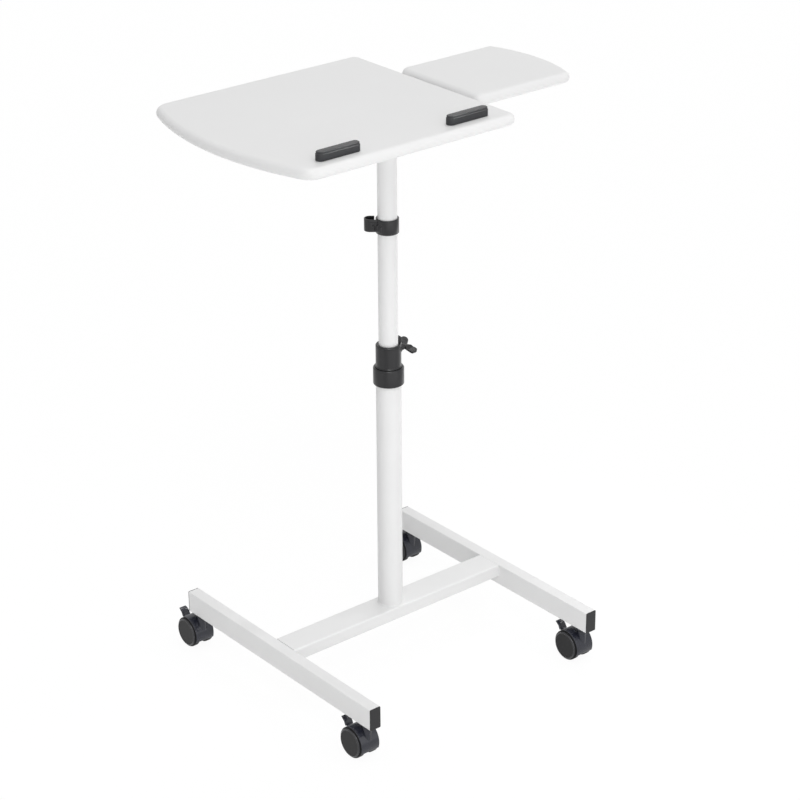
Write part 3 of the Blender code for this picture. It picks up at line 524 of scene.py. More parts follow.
class STAND_OT_stops(bpy.types.Operator):
    """Makes the two stops, each with a sloped ledge below its crown"""

    bl_idname = "stand.stops"
    bl_label = "Stops"

    def execute(self, context):
        ledge = context.scene.stand.sizes.ledge
        for side in ("left", "right"):
            low, high = node_box("stop_" + side)
            size = high - low
            run, tall = (size[0] - size[1]) / 2, size[2]
            plan = band((-run, 0), size[1] / 2, (run, 0), size[1] / 2, 28)
            line = tall - LEDGE_DROP
            # The crown's edge slopes as the ledge does.
            layers = [
                [1.2 * MM, 0], [0.4 * MM, 0], [0, 0.4 * MM],
                [0, line], [ledge, line + LEDGE_SLOPE * ledge],
                [ledge, tall - 1.0 * MM], [ledge + 1.0 * MM, tall - 0.16 * MM],
                [ledge + 1.3 * MM, tall - 0.03 * MM], [ledge + 2.1 * MM, tall]]
            stop = placed(prism(plan, layers), shift=midpoint(low, high, low[2]))
            piece("stop_pad_" + side, stop, "rubber", "main_top", ("stop_" + side,), 15)
        return {"FINISHED"}


CAP_EDGE = 0.6 * MM


def end_cap(width, height, corner, lip):
    """Lip of a tube cap from Z = 0 up: one rounded rectangle per layer, drawn in by e (1 - sin t) at
    e (1 - cos t) below the top, so that the outer edge is a quarter round."""
    t = np.linspace(QUARTER, 0, 6)
    inset = np.concatenate([[0], CAP_EDGE * (1 - np.sin(t)), [CAP_EDGE + 1 * MM]])
    level = np.concatenate([[0], lip - CAP_EDGE * (1 - np.cos(t)), [lip]])
    rows = [rounded(width - 2 * i, height - 2 * i, max(corner - i, 0.3 * MM)) for i in inset]
    points = [np.column_stack([row, np.full(len(row), z)]) for row, z in zip(rows, level)]
    return skin(np.stack(points))


# The crossbar's corners are softer than the feet's, by this factor, and have this many points each.
BAR_SOFTER = 1.4
BAR_POINTS = 10


def bar_weld(plan, place, inwards, weld):
    """Weld bead round the crossbar's end, along 40 points from each corner of its plan to the next.
    Where its normal points up, the leg shrinks to 3 %: over the top the bead is ground flush."""
    starts, ends = plan[::BAR_POINTS], np.roll(plan, -BAR_POINTS, axis=0)[::BAR_POINTS]
    fine = np.concatenate([np.linspace(start, end, 40, endpoint=False) for start, end in zip(starts, ends)])
    normal, level = outward(fine), np.zeros((len(fine), 1))
    path, out = np.hstack([level, fine]) + place, np.hstack([level, normal])
    leg = weld * (1 - 0.97 * np.clip(normal[:, 1] * 1.2, 0, 1))
    return bead(path, out, np.array([inwards, 0.0, 0.0]), leg)


class STAND_OT_base(bpy.types.Operator):
    """Makes the feet, the crossbar, their welds and the feet's end caps"""

    bl_idname = "stand.base"
    bl_label = "Base frame"

    def execute(self, context):
        s = context.scene.stand.sizes
        bar_low, bar_high = node_box("crossbar")
        bar, bar_middle = bar_high - bar_low, (bar_low + bar_high) / 2
        bar_plan = rounded(bar[1], bar[2], s.tube_corner * BAR_SOFTER, BAR_POINTS)
        welds = []
        for side, inwards in (("left", 1), ("right", -1)):
            low, high = node_box("foot_" + side)
            size, middle = high - low, (low + high) / 2
            ends = soft_ends(-size[1] / 2, size[1] / 2, CUT_EDGE)
            foot = placed(prism(rounded(size[0], size[2], s.tube_corner), ends), LAID_Y, middle)
            piece("foot_tube_" + side, foot, "coat", "base", ("foot_" + side,))
            for end, turn in (("front", 0.0), ("back", np.pi)):
                node = "foot_cap_" + end + "_" + side
                cap_low, cap_high = node_box(node)
                face = cap_low[1] + s.cap_lip if end == "front" else cap_high[1] - s.cap_lip
                cap = end_cap(size[0], size[2], s.tube_corner, s.cap_lip)
                cap = placed(cap, turn_z(turn) @ LAID_Y, (middle[0], face, middle[2]))
                piece("foot_end_" + end + "_" + side, cap, "shell", "base", (node,))
            joint = (high[0] if inwards > 0 else low[0], bar_middle[1], bar_middle[2])
            welds.append(bar_weld(bar_plan, joint, inwards, s.weld))
        beam = prism(bar_plan, soft_ends(-bar[0] / 2, bar[0] / 2, 0.2 * MM))
        piece("crossbar_tube", placed(beam, LAID_X, bar_middle), "coat", "base", ("crossbar",))
        piece("crossbar_welds", merged(*welds), "coat", "base")
        dress("zinc", "column_insert", "column_bolt")
        return {"FINISHED"}


def ring_bead(radius, height, up, leg):
    """Weld bead round a tube of a given radius, at a height, on the column's axis."""
    angle = np.linspace(0, 2 * np.pi, 320, endpoint=False)
    out = np.stack([np.cos(angle), np.sin(angle), 0 * angle], axis=1)
    path = out * radius + COLUMN + (0, 0, height)
    return bead(path, out, np.array([0.0, 0.0, up]), np.full(len(angle), leg))


def cup_shape(radius, low, high, bore, seat, step):
    """Collar's ring, a profile carried round Z: a bore for the lower tube up to a step, a seat for the sleeve
    above it, a sloped top edge and a quarter round at the foot."""
    edge = 1.2 * MM
    profile = np.concatenate([
        [(seat, step), (seat, high - CUT_EDGE), (seat + CUT_EDGE, high), (radius - 1.7 * MM, high),
         (radius - 0.2 * MM, high - 1.9 * MM), (radius, high - 2.5 * MM)],
        arc((radius - edge, low + edge), edge, 0, -QUARTER, 8),
        [(bore, low), (bore, step)]])
    return placed(turned(profile, 96, True), shift=COLUMN)


def sleeve_shape(radius, bore, foot, lip, end, tip):
    """Collar's sleeve, a profile carried round Z: a sloped rim, a fine line below it, a low lip at its foot.
    A round boss along X takes the screw. The lug over it stands up above the rim, and slopes at its top."""
    rim = SCREW[2] + 14.6 * MM
    line = rim - 3.4 * MM
    profile = [
        (bore, foot), (bore, rim - 0.5 * MM), (bore + 0.5 * MM, rim), (radius - 1.5 * MM, rim),
        (radius - 0.2 * MM, rim - 1.6 * MM), (radius, rim - 2.2 * MM),
        (radius, line + 0.3 * MM), (radius - 0.25 * MM, line + 0.1 * MM),
        (radius - 0.25 * MM, line - 0.1 * MM), (radius, line - 0.3 * MM),
        (radius, lip + 2.6 * MM), (radius + 1.2 * MM, lip + 1.1 * MM), (radius + 1.2 * MM, lip + 0.6 * MM),
        (radius, lip + 0.4 * MM), (radius, foot)]
    boss = placed(pin(8 * MM, bore + 2 * MM, end, 0.8 * MM), LAID_X, SCREW)
    root = bore + 0.6 * MM
    lug = softened([(root, SCREW[2]), (end, SCREW[2]), (end, tip - 5 * MM), (end - 1.6 * MM, tip - 1.6 * MM),
                    (end - 4.2 * MM, tip), (root, tip)], np.array([0.2, 0.2, 1.4, 1.2, 0.8, 0.3]) * MM)
    lug = placed(prism(lug, soft_ends(-5 * MM, 5 * MM, 0.7 * MM, 0.3 * MM)), LAID_Y, COLUMN)
    return merged(placed(turned(profile, 96, True), shift=COLUMN), boss, lug)


class STAND_OT_column(bpy.types.Operator):
    """Makes the telescopic tubes and the two-piece collar"""

    bl_idname = "stand.column"
    bl_label = "Column"

    def execute(self, context):
        s = context.scene.stand.sizes
        low, high = node_box("column_lower_tube")
        lower_r, top = (high[0] - low[0]) / 2, high[2]
        lower = tube(lower_r, lower_r - s.wall, low[2], high[2])
        piece("lower_column", placed(lower, shift=COLUMN), "coat", "base", ("column_lower_tube",))
        piece("column_foot_weld", ring_bead(lower_r, low[2], 1.0, s.weld), "coat", "base")
        low, high = node_box("column_upper_tube")
        upper_r = (high[0] - low[0]) / 2
        upper = tube(upper_r, upper_r - s.wall, low[2], high[2])
        piece("upper_column", placed(upper, shift=COLUMN), "coat", "lift", ("column_upper_tube",))
        piece("column_head_weld", ring_bead(upper_r, high[2], -1.0, s.weld), "coat", "lift")

        low, high = node_box("collar_ring")
        ring_r, lip = (high[0] - low[0]) / 2, high[2]
        sleeve_low, sleeve_high = node_box("collar_sleeve")
        sleeve_r = (sleeve_high[1] - sleeve_low[1]) / 2
        cup = cup_shape(ring_r, low[2], lip, lower_r + PLAY, sleeve_r + PLAY, top + 1 * MM)
        piece("collar_cup", cup, "shell", "base", ("collar_ring",), 20)
        end, tip = sleeve_high[0] - COLUMN[0], sleeve_high[2]
        sleeve = sleeve_shape(sleeve_r, upper_r + PLAY, top + PLAY, lip, end, tip)
        piece("collar_sleeve_body", sleeve, "shell", "base", ("collar_sleeve",), 20)
        dress("shell", "guide_bush")
        return {"FINISHED"}


# Wing screw: lean of its lobes, and a lobe's root, tip and half thickness in millimetres.
WING_LEAN = np.radians(19)
WING_ROOT, WING_TIP = -1.1, 19.4
WING_HALF = 3.8


def eased_line(at, places, values, reach=2.2):
    """Broken line through given points, its corners eased: its mean over a stretch of reach to both sides."""
    near = at + np.linspace(-reach, reach, 9)
    return np.interp(near, places, values).mean(axis=1, keepdims=True)


def wing_lobe():
    """Lobe of the wing screw along Y, in rows across it from root to tip, worked out in millimetres.
    A row is a box-like round, x = sign(cos u) |cos u|^0.4 and z = sign(sin u) |sin u|^0.4, stretched between
    the lobe's near and far edge and between its two faces. The lower face has a scoop for the finger beyond
    the root, which eases in by t^2 (3 - 2t) and slopes down towards the column."""
    y = np.linspace(WING_ROOT, WING_TIP, 60)[:, None]
    near = eased_line(y, (WING_ROOT, 8.0, 17.4, WING_TIP), (5.3, 9.2, 11.2, 13.4))
    far = eased_line(y, (WING_ROOT, 3.1, 8.6, 14.4, 17.6, WING_TIP), (11.3, 19.2, 24.6, 26.0, 24.4, 20.4))
    u = np.linspace(0, 2 * np.pi, 48, endpoint=False)[None]
    across, through = [np.sign(w) * np.abs(w) ** 0.4 for w in (np.cos(u), np.sin(u))]
    x = (near + far) / 2 + across * (far - near) / 2
    t = np.clip((y - 4.5) / 3.5, 0, 1)
    lower = -WING_HALF + t ** 2 * (3 - 2 * t) * (4.6 - 0.15 * (x - 12))
    tip = np.sqrt(1 - np.clip(1 - (WING_TIP - y) / 1.2, 0, 1) ** 2 * 0.9)
    z = (WING_HALF + lower) / 2 + through * tip * (WING_HALF - lower) / 2
    return skin(np.stack([x, np.broadcast_to(y, x.shape), z], axis=2) * MM)


class STAND_OT_wing_screw(bpy.types.Operator):
    """Makes the wing screw's knob with its two leaning lobes"""

    bl_idname = "stand.wing_screw"
    bl_label = "Wing screw"

    def execute(self, context):
        start = node_box("wing_screw_knob")[0][0] - SCREW[0]
        end = start + 11 * MM
        profile = [(0.3 * MM, start), (5.4 * MM, start), (5.8 * MM, start + 0.5 * MM),
                   (4.9 * MM, end - 0.6 * MM), (4.3 * MM, end), (0.3 * MM, end)]
        hub = placed(turned(profile, 48), LAID_X)
        lobe = placed(wing_lobe(), shift=(start, 0, 0))
        knob = merged(hub, lobe, placed(lobe, turn_x(np.pi)))
        knob = placed(knob, turn_x(WING_LEAN), SCREW)
        piece("wing_knob", knob, "shell", "wing_screw", ("wing_screw_knob",), 50)
        dress("zinc", "wing_screw_stud")
        return {"FINISHED"}


# Cable clip: wall of its ring; distance, half widths outside and inside, height and direction of its loop.
CLIP_WALL = 2.6 * MM
LOOP_REACH = 28.5 * MM
LOOP_OUTER = 10.2 * MM
LOOP_INNER = 8.0 * MM
LOOP_HEIGHT = 21.8 * MM
LOOP_TURN = np.radians(140.6)

# The clip's ribs and the pockets above them, on a pad: places in X, rise or depth, and half sizes.
RIB_PLACES = (23.0 * MM, 17.0 * MM, 10.9 * MM)
RIB_RISE, RIB_HALF = 1.5 * MM, 1.7 * MM
POCKET_DEPTH, POCKET_HALF, POCKET_TALL = 1.1 * MM, 1.9 * MM, 1.3 * MM
PAD_RISE, PAD_ROOT, PAD_BACK = 0.5 * MM, 0.3 * MM, 1.2 * MM


def rib_pad(outer, far, tall):
    """Thickened front of the clip where loop and ring meet, with upright ribs and a pocket above each.
    The path runs along the loop's wall at Y = far, round an eased corner and on along the ring. Its offset is
    the pad's rise, + rise exp(-(s / half)^4) on each rib, - depth exp(-(s / half)^2 - (z / tall)^2) at each
    pocket, and eases to the pad's root at its edges."""
    meet = np.arcsin(far / outer)
    wall = np.linspace(30 * MM, outer * np.cos(meet) + 3.5 * MM, 40)
    wall = np.stack([wall, np.full(len(wall), far)], axis=1)
    rim = arc((0, 0), outer, meet + 0.2, 1.25, 40)
    t = np.linspace(0, 1, 14)[1:-1, None]
    corner = np.array([outer * np.cos(meet), far])
    path = np.concatenate([wall, (1 - t) ** 2 * wall[-1] + 2 * t * (1 - t) * corner + t ** 2 * rim[0], rim])
    chord = np.gradient(path, axis=0)
    normal = np.stack([chord[:, 1], -chord[:, 0]], axis=1) / np.linalg.norm(chord, axis=1, keepdims=True)
    way = np.concatenate([[0], np.cumsum(np.linalg.norm(np.diff(path, axis=0), axis=1))])
    at = np.interp(-np.array(RIB_PLACES), -path[:, 0], way)[:, None, None]
    z = np.linspace(0.165 * tall, 0.82 * tall, 60)[:, None]
    along = np.clip(np.minimum(way, way[-1] - way) / (2.5 * MM), 0, 1)[None]
    upwards = np.clip(np.minimum(z - z[0], z[-1] - z) / (1.2 * MM), 0, 1)
    standing = 1 / (1 + np.exp((z - 0.60 * tall) / (0.25 * MM)))
    ribs = RIB_RISE * np.exp(-((way - at) / RIB_HALF) ** 4) * standing
    pockets = POCKET_DEPTH * np.exp(-((way - at) / POCKET_HALF) ** 2 - ((z - 0.67 * tall) / POCKET_TALL) ** 2)
    rise = PAD_RISE + ribs.sum(axis=0) - pockets.sum(axis=0)
    lift = (rise + PAD_ROOT) * (along * upwards) - PAD_ROOT
    front = path[None] + lift[..., None] * normal[None]
    back = np.broadcast_to((path - PAD_BACK * normal)[None, ::-1], front.shape)
    plan = np.concatenate([front, back], axis=1)
    return skin(np.concatenate([plan, np.broadcast_to(z[..., None], plan.shape[:2] + (1,))], axis=2))


class STAND_OT_cable_clip(bpy.types.Operator):
    """Makes the cable clip: a ring, a hooked loop open at the back, and small ribs where they meet"""

    bl_idname = "stand.cable_clip"
    bl_label = "Cable clip"

    def execute(self, context):
        low, high = node_box("cable_clip")
        tall = high[2] - low[2]
        bore = (node_box("column_upper_tube")[1][0] - COLUMN[0]) + PLAY
        outer = bore + CLIP_WALL
        ring = tube(outer, bore, 0, tall, 0.5 * MM)
        root = np.sqrt(outer ** 2 - LOOP_INNER ** 2) - 1.5 * MM
        mouth, edge = outer + 2.1 * MM, 0.3 * MM
        hook = np.concatenate([
            [(root, LOOP_INNER), (root, LOOP_OUTER)],
            arc((LOOP_REACH, 0), LOOP_OUTER, QUARTER, -QUARTER, 48),
            [(mouth + edge, -LOOP_OUTER), (mouth, edge - LOOP_OUTER),
             (mouth, -LOOP_INNER - edge), (mouth + edge, -LOOP_INNER)],
            arc((LOOP_REACH, 0), LOOP_INNER, -QUARTER, QUARTER, 48)])[::-1]
        loop = prism(hook, soft_ends(tall - LOOP_HEIGHT, tall - 0.3 * MM, 0.5 * MM, 0.2 * MM, 4))
        clip = merged(ring, loop, rib_pad(outer, LOOP_OUTER, tall))
        clip = placed(clip, turn_z(LOOP_TURN), COLUMN + (0, 0, low[2]))
        piece("cable_hook", clip, "shell", "cable_clip", ("cable_clip",), 45)
        return {"FINISHED"}


# Casters: the hood's radius and wall, half the web between the wheels and half the pedal's slot in it, the
# angles at which the hood starts and ends, the stem and its cover, and the step from the tread to the disc.
HOOD_RADIUS, HOOD_WALL = 29.8 * MM, 1.6 * MM
HOOD_WEB, HOOD_SLOT = 7.7 * MM, 4.6 * MM
HOOD_FRONT, HOOD_BACK = np.radians(-20), np.radians(108)
STEM_RADIUS = 5 * MM
COVER_RADIUS, COVER_HEIGHT = 9 * MM, 4.5 * MM
TREAD_STEP = 2.5 * MM


def tyre_shape(radius, inner, outer):
    """Tread half of a caster wheel about Z: inner face, flat tread, rounded shoulders and the disc's seat."""
    shoulder, edge = 2.0 * MM, 2.6 * MM
    profile = np.concatenate([
        [(3.3 * MM, inner), (9 * MM, inner), (9.4 * MM, inner + 1.2 * MM),
         (radius - 7 * MM, inner + 1.2 * MM), (radius - 6.6 * MM, inner), (radius - 2.2 * MM, inner)],
        arc((radius - shoulder, inner + shoulder), shoulder, -QUARTER, 0, 6),
        arc((radius - edge, outer - 1.9 * MM - edge), edge, 0, QUARTER, 8),
        [(radius - edge - 2 * MM, outer - 2.0 * MM), (3.3 * MM, outer - 3.0 * MM)]])
    return turned(profile, 96)


def disc_shape(radius, outer):
    """Matt face of a caster wheel about Z: a flat disc, sunk a little inside its rim, its middle dished."""
    reach = radius - 3.2 * MM
    profile = [(0.4 * MM, outer - 3.2 * MM), (reach, outer - 3.2 * MM), (reach, outer - 0.6 * MM),
               (reach - 0.3 * MM, outer - 0.4 * MM), (reach - 5 * MM, outer - 0.4 * MM),
               (0.4 * MM, outer - 0.5 * MM)]
    return turned(profile, 96)


def rim_shape(radius, outer):
    """Rim round a wheel's face, about Z, glossier than the disc and a lighter tone as painted highlight: an
    outer round of 2.2 mm and a small inner round.
    """
    soft, small = 2.2 * MM, 0.6 * MM
    inner = radius - 3.1 * MM
    profile = np.concatenate([
        arc((radius - soft, outer - soft), soft, 0, QUARTER, 10),
        arc((inner + small, outer - small), small, QUARTER, 2 * QUARTER, 5),
        [(inner, outer - 3.4 * MM), (radius - 0.6 * MM, outer - 3.4 * MM), (radius, outer - 3.0 * MM)]])
    return turned(profile, 96, True)


def hood_shape(half, trail, top):
    """Caster hood about the axle, angles from the front upwards: a round shell over both wheels, a web
    between them with a slot for the pedal, and the upright stem housing."""
    middle = HOOD_RADIUS - HOOD_WALL / 2
    a, b = np.pi - HOOD_FRONT, np.pi - HOOD_BACK
    shell = np.concatenate([
        arc((0, 0), HOOD_RADIUS, b, a, 60),
        arc((middle * np.cos(a), middle * np.sin(a)), HOOD_WALL / 2, a, a + np.pi, 7)[1:-1],
        arc((0, 0), HOOD_RADIUS - HOOD_WALL, a, b, 60),
        arc((middle * np.cos(b), middle * np.sin(b)), HOOD_WALL / 2, b - np.pi, b, 7)[1:-1]])
    cover = placed(prism(shell, soft_ends(-half, half, 0.6 * MM, 0.1 * MM)), LAID_X)
    rim = arc((0, 0), middle, b + 0.05, a - 0.05, 40)
    hub = arc((0, 0), 9.9 * MM, np.radians(200), np.radians(340), 16)
    ear = np.concatenate([rim, hub, [(24 * MM, 3 * MM), (26.5 * MM, 9 * MM)]])
    notch = [(22 * MM, 2.4 * MM), (22 * MM, 3.8 * MM), (12 * MM, 3.8 * MM), (12 * MM, 23.5 * MM)]
    core = np.concatenate([rim, hub, notch])
    plates = [placed(prism(ear, soft_ends(-HOOD_WEB, -HOOD_SLOT, 0.4 * MM, 0.2 * MM, 4)), LAID_X),
              placed(prism(ear, soft_ends(HOOD_SLOT, HOOD_WEB, 0.4 * MM, 0.2 * MM, 4)), LAID_X),
              placed(prism(core, [[0, -HOOD_SLOT], [0, HOOD_SLOT]]), LAID_X)]
    housing = pin(HOOD_WEB + 0.3 * MM, top - 30 * MM, top, 0.7 * MM, 56)
    return merged(cover, *plates, placed(housing, shift=(0, -trail, 0)))


def pedal_shape(reach, half):
    """Brake pedal about its pin: hub and arm in the hood's slot, and a tongue that curves up and back behind.
    The tongue narrows by a twelfth towards its tip."""
    narrow, start = half - 2.5 * MM, 10 * MM
    hub = placed(pin(4.5 * MM, -narrow, narrow, 0.4 * MM, 32), LAID_X)
    arm = softened(np.array([(-1, -4), (8.7, 2), (8.7, 6), (4.7, 6), (-3, 3)]) * MM, 0.8 * MM)
    arm = placed(prism(arm, soft_ends(-narrow, narrow, 0.4 * MM, 0.2 * MM, 4)), LAID_X)
    tip = reach / MM
    under = [(8.7, 2.4), (10.9, 5.9), (12.1, 9.0), (14.1, 11.7), (16.7, 13.5), (tip, 15.0)]
    over = [(tip - 0.3, 16.2), (15.6, 15.5), (12.4, 13.6), (9.6, 10.9), (7.7, 7.8), (5.2, 4.2)]
    ease = np.array([0.8, 1.5, 1.5, 1.5, 1.5, 0.5, 0.5, 1.6, 1.6, 1.6, 1.6, 0.8])
    side = softened(np.array(under + over) * MM, ease * MM, 7)
    along = np.clip((side[:, 0] - start) / (reach - start), 0, 1)
    tongue = tapered(side, half * (1 - along / 12), 0.5 * MM)
    return merged(hub, arm, tongue)


class STAND_OT_casters(bpy.types.Operator):
    """Makes the four casters: stems with their covers, hoods, wheels and brake pedals"""

    bl_idname = "stand.casters"
    bl_label = "Casters"

    def execute(self, context):
        for tag in CORNERS:
            stem = np.array(JOINTS["swivel_" + tag]["pos_m"])
            axle = np.array(JOINTS["roll_left_" + tag]["pos_m"])
            pivot = np.array(JOINTS["brake_" + tag]["pos_m"])
            low, high = node_box("wheel_right_" + tag)
            radius, inner, outer = (high[1] - low[1]) / 2, low[0] - axle[0], high[0] - axle[0]
            tyre, face = tyre_shape(radius, inner, outer), radius - TREAD_STEP
            disc, rim = disc_shape(face, outer), rim_shape(face, outer)
            for side, turn in (("right", 0.0), ("left", np.pi)):
                name = "wheel_" + side + "_" + tag
                way = turn_z(turn) @ LAID_X
                piece(name + "_tyre", placed(tyre, way, axle), "tread", name, (name,), 30)
                piece(name + "_disc", placed(disc, way, axle), "disc", name, (), 30)
                piece(name + "_rim", placed(rim, way, axle), "rim", name, (), 30)
            low, high = node_box("caster_hood_" + tag)
            hood = hood_shape((high[0] - low[0]) / 2, axle[1] - stem[1], high[2] - axle[2])
            hood = placed(hood, shift=axle)
            piece("hood_" + tag, hood, "hood", "caster_" + tag, ("caster_hood_" + tag,), 45)
            low, high = node_box("brake_pedal_" + tag)
            pedal = placed(pedal_shape(high[1] - pivot[1], (high[0] - low[0]) / 2), shift=pivot)
            piece("pedal_" + tag, pedal, "hood", "pedal_" + tag, ("brake_pedal_" + tag,), 45)
            low, high = node_box("caster_stem_" + tag)
            flange = node_box("foot_left")[0][2] - PLAY
            at = (*stem[:2], 0)
            bar = pin(STEM_RADIUS, low[2], high[2], 0.7 * MM, 40)
            cover = pin(COVER_RADIUS, flange - COVER_HEIGHT, flange, 0.6 * MM, 48)
            piece("stem_" + tag, placed(bar, shift=at), "zinc", "base", ("caster_stem_" + tag,))
            piece("stem_cover_" + tag, placed(cover, shift=at), "hood", "base")
            dress("zinc", "caster_axle_" + tag)
        return {"FINISHED"}


# Head: the brackets' and saddle's plate, the screws' heads, the rod and its end, and the tilt knob.
PLATE = 3 * MM
HEAD_RADIUS = 4 * MM
ROD_RADIUS, ROD_END_RADIUS = 4 * MM, 6.8 * MM
GRIP_RADIUS = 11.2 * MM


def screw_shape(radius):
    """Pan-head screw seen from below, its seat at Z = 0: a dome of revolution with a round recess."""
    t = np.linspace(0, QUARTER, 7)
    dome = np.stack([radius * np.cos(t * 0.8), -0.55 * radius * np.sin(t) - 0.1 * radius], axis=1)
    recess = np.array([(0.36, -0.66), (0.30, -0.30), (0.04, -0.26)]) * radius
    return turned(np.concatenate([[(radius, 0.0)], dome, recess]), 28)


def plate_screws(low, high, inset):
    """Four screws under a plate at the top of a box, each inset from its corner."""
    places = [(x, y, high[2] - PLATE) for x in (low[0] + inset, high[0] - inset)
              for y in (low[1] + inset, high[1] - inset)]
    return merged(*[placed(screw_shape(HEAD_RADIUS), shift=place) for place in places])


def grip_shape(low, high):
    """Grip with five lobes along Z: its radius is r (0.93 + 0.07 cos 5a) at the angle a."""
    angle = np.linspace(0, 2 * np.pi, 120, endpoint=False)
    reach = GRIP_RADIUS * (0.93 + 0.07 * np.cos(5 * angle))
    plan = np.stack([reach * np.cos(angle), reach * np.sin(angle)], axis=1)
    return prism(plan, soft_ends(low, high, 1.2 * MM, 1.5 * MM))


class STAND_OT_head(bpy.types.Operator):
    """Makes the beam, the hinge pieces and the screws under the tops"""

    bl_idname = "stand.head"
    bl_label = "Head"

    def execute(self, context):
        s = context.scene.stand.sizes
        low, high = node_box("head_beam")
        size, middle = high - low, (low + high) / 2
        beam = prism(rounded(size[1], size[2], s.tube_corner), soft_ends(-size[0] / 2, size[0] / 2, CUT_EDGE))
        piece("head_tube", placed(beam, LAID_X, middle), "coat", "lift", ("head_beam",))
        for side, turn in (("left", np.pi), ("right", 0.0)):
            cap_low, cap_high = node_box("beam_cap_" + side)
            face = cap_low[0] + s.cap_lip if side == "left" else cap_high[0] - s.cap_lip
            cap = end_cap(size[1], size[2], s.tube_corner, s.cap_lip)
            cap = placed(cap, turn_z(turn) @ LAID_X, (face, middle[1], middle[2]))
            piece("beam_end_" + side, cap, "shell", "lift", ("beam_cap_" + side,))
            low, high = node_box("rest_bumper_" + side)
            bumper = pin((high[0] - low[0]) / 2, low[2], high[2], 1.0 * MM, 32)
            bumper = placed(bumper, shift=midpoint(low, high, 0))
            piece("bumper_" + side, bumper, "rubber", "lift", ("rest_bumper_" + side,))
            screws = plate_screws(*node_box("tilt_bracket_" + side), 10 * MM)
            piece("bracket_screws_" + side, screws, "zinc", "main_top")
        piece("side_screws", plate_screws(*node_box("side_saddle"), 12 * MM), "zinc", "lift")
        axis = (0, HINGE[1], HINGE[2])
        low, high = node_box("hinge_rod")
        rod = merged(pin(ROD_RADIUS, low[0], high[0] - 2 * MM, 0.6 * MM, 40),
                     pin(ROD_END_RADIUS, high[0] - 4 * MM, high[0], 0.8 * MM, 40))
        piece("tilt_rod", placed(rod, LAID_X, axis), "zinc", "lift", ("hinge_rod",))
        low, high = node_box("tilt_knob")
        grip = placed(grip_shape(low[0], high[0]), LAID_X, axis)
        piece("tilt_grip", grip, "shell", "tilt_knob", ("tilt_knob",))
        dress("coat", "hinge_saddle_left", "hinge_saddle_right", "tilt_bracket_left",
              "tilt_bracket_right", "side_saddle")
        return {"FINISHED"}


# Floor: its half size, the strength of its white, and that white's share where the floor is seen directly.
FLOOR_HALF = 12.0
FLOOR_WHITE = 1.01
FLOOR_SHARE = 0.94

# World: strength of the even room.
ROOM = 0.36

# Broad suns: name, degrees about Z, degrees above the floor, width in degrees, and strength.
SUNS = (
    ("key", 255, 22, 76, 0.3),
    ("top", 240, 72, 36, 0.35),
    ("front", 238, 50, 16, 0.45),
    ("high", 37, 66, 18, 0.36),
    ("zenith", 0, 85, 60, 0.39),
    ("edge", 341, 51, 5, 0.17),
)

# Upright soft boxes, near enough to be mirrored in the plastic: name, degrees about Z, distance, width,
# height and radiance, which is power / (pi area).
BOXES = (
    ("front_box", 262, 1.05, 1.7, 1.8, 0.6),
    ("left_box", 178, 0.9, 0.5, 1.3, 0.26),
    ("strip", 5, 0.8, 0.2, 1.3, 0.9),
)

# Camera: its turns to the right of +Y, down and about its own axis; its place from the column's foot; its
# lens and frame in millimetres; and how far it sees.
CAMERA_TURNS = np.radians((39.428, 25.122, -0.348))
CAMERA_PLACE = (-2.37915, -2.9235, 2.2673)
CAMERA_LENS = 110.007
CAMERA_FRAME = 36
CAMERA_SIGHT = 60


def background_ray(tree):
    """One for rays that show the background: seen by the camera, mirrored in a surface or through glass."""
    path = add(tree, "ShaderNodeLightPath").outputs
    direct = {0: path["Is Camera Ray"], 1: path["Is Glossy Ray"]}
    seen = add(tree, "ShaderNodeMath", direct, operation="MAXIMUM")
    through = {0: seen.outputs[0], 1: path["Is Transmission Ray"]}
    return add(tree, "ShaderNodeMath", through, operation="MAXIMUM").outputs[0]


def lay_floor(scene):
    """Floor: seen directly it is the backdrop's white with a trace of shadow, to the object pale paint."""
    half = FLOOR_HALF
    corners = [(-half, -half, 0.0), (half, -half, 0.0), (half, half, 0.0), (-half, half, 0.0)]
    mesh = bpy.data.meshes.new("floor")
    mesh.from_pydata(corners, [], [(0, 1, 2, 3)])
    floor = bpy.data.objects.new("floor", mesh)
    scene.collection.objects.link(floor)
    paint = bpy.data.materials.new("floor_paint")
    paint.use_nodes = True
    tree = paint.node_tree
    tree.nodes.clear()
    matt = add(tree, "ShaderNodeBsdfDiffuse", {"Color": (*scene.stand.colours.floor, 1)})
    white = add(tree, "ShaderNodeEmission", {"Color": (1, 1, 1, 1), "Strength": FLOOR_WHITE})
    share = add(tree, "ShaderNodeMath", {0: background_ray(tree), 1: FLOOR_SHARE}, operation="MULTIPLY")
    mix = add(tree, "ShaderNodeMixShader", {0: share.outputs[0], 1: matt.outputs[0], 2: white.outputs[0]})
    add(tree, "ShaderNodeOutputMaterial", {"Surface": mix.outputs[0]})
    mesh.materials.append(paint)


def set_world(scene):
    """World: white as a background, and a dim even room to all other rays."""
    world = bpy.data.worlds.new("studio")
    scene.world = world
    world.use_nodes = True
    tree = world.node_tree
    tree.nodes.clear()
    room = add(tree, "ShaderNodeBackground", {"Color": (1, 1, 1, 1), "Strength": ROOM})
    white = add(tree, "ShaderNodeBackground", {"Color": (1, 1, 1, 1), "Strength": 1.0})
    share = background_ray(tree)
    mix = add(tree, "ShaderNodeMixShader", {0: share, 1: room.outputs[0], 2: white.outputs[0]})
    add(tree, "ShaderNodeOutputWorld", {"Surface": mix.outputs[0]})


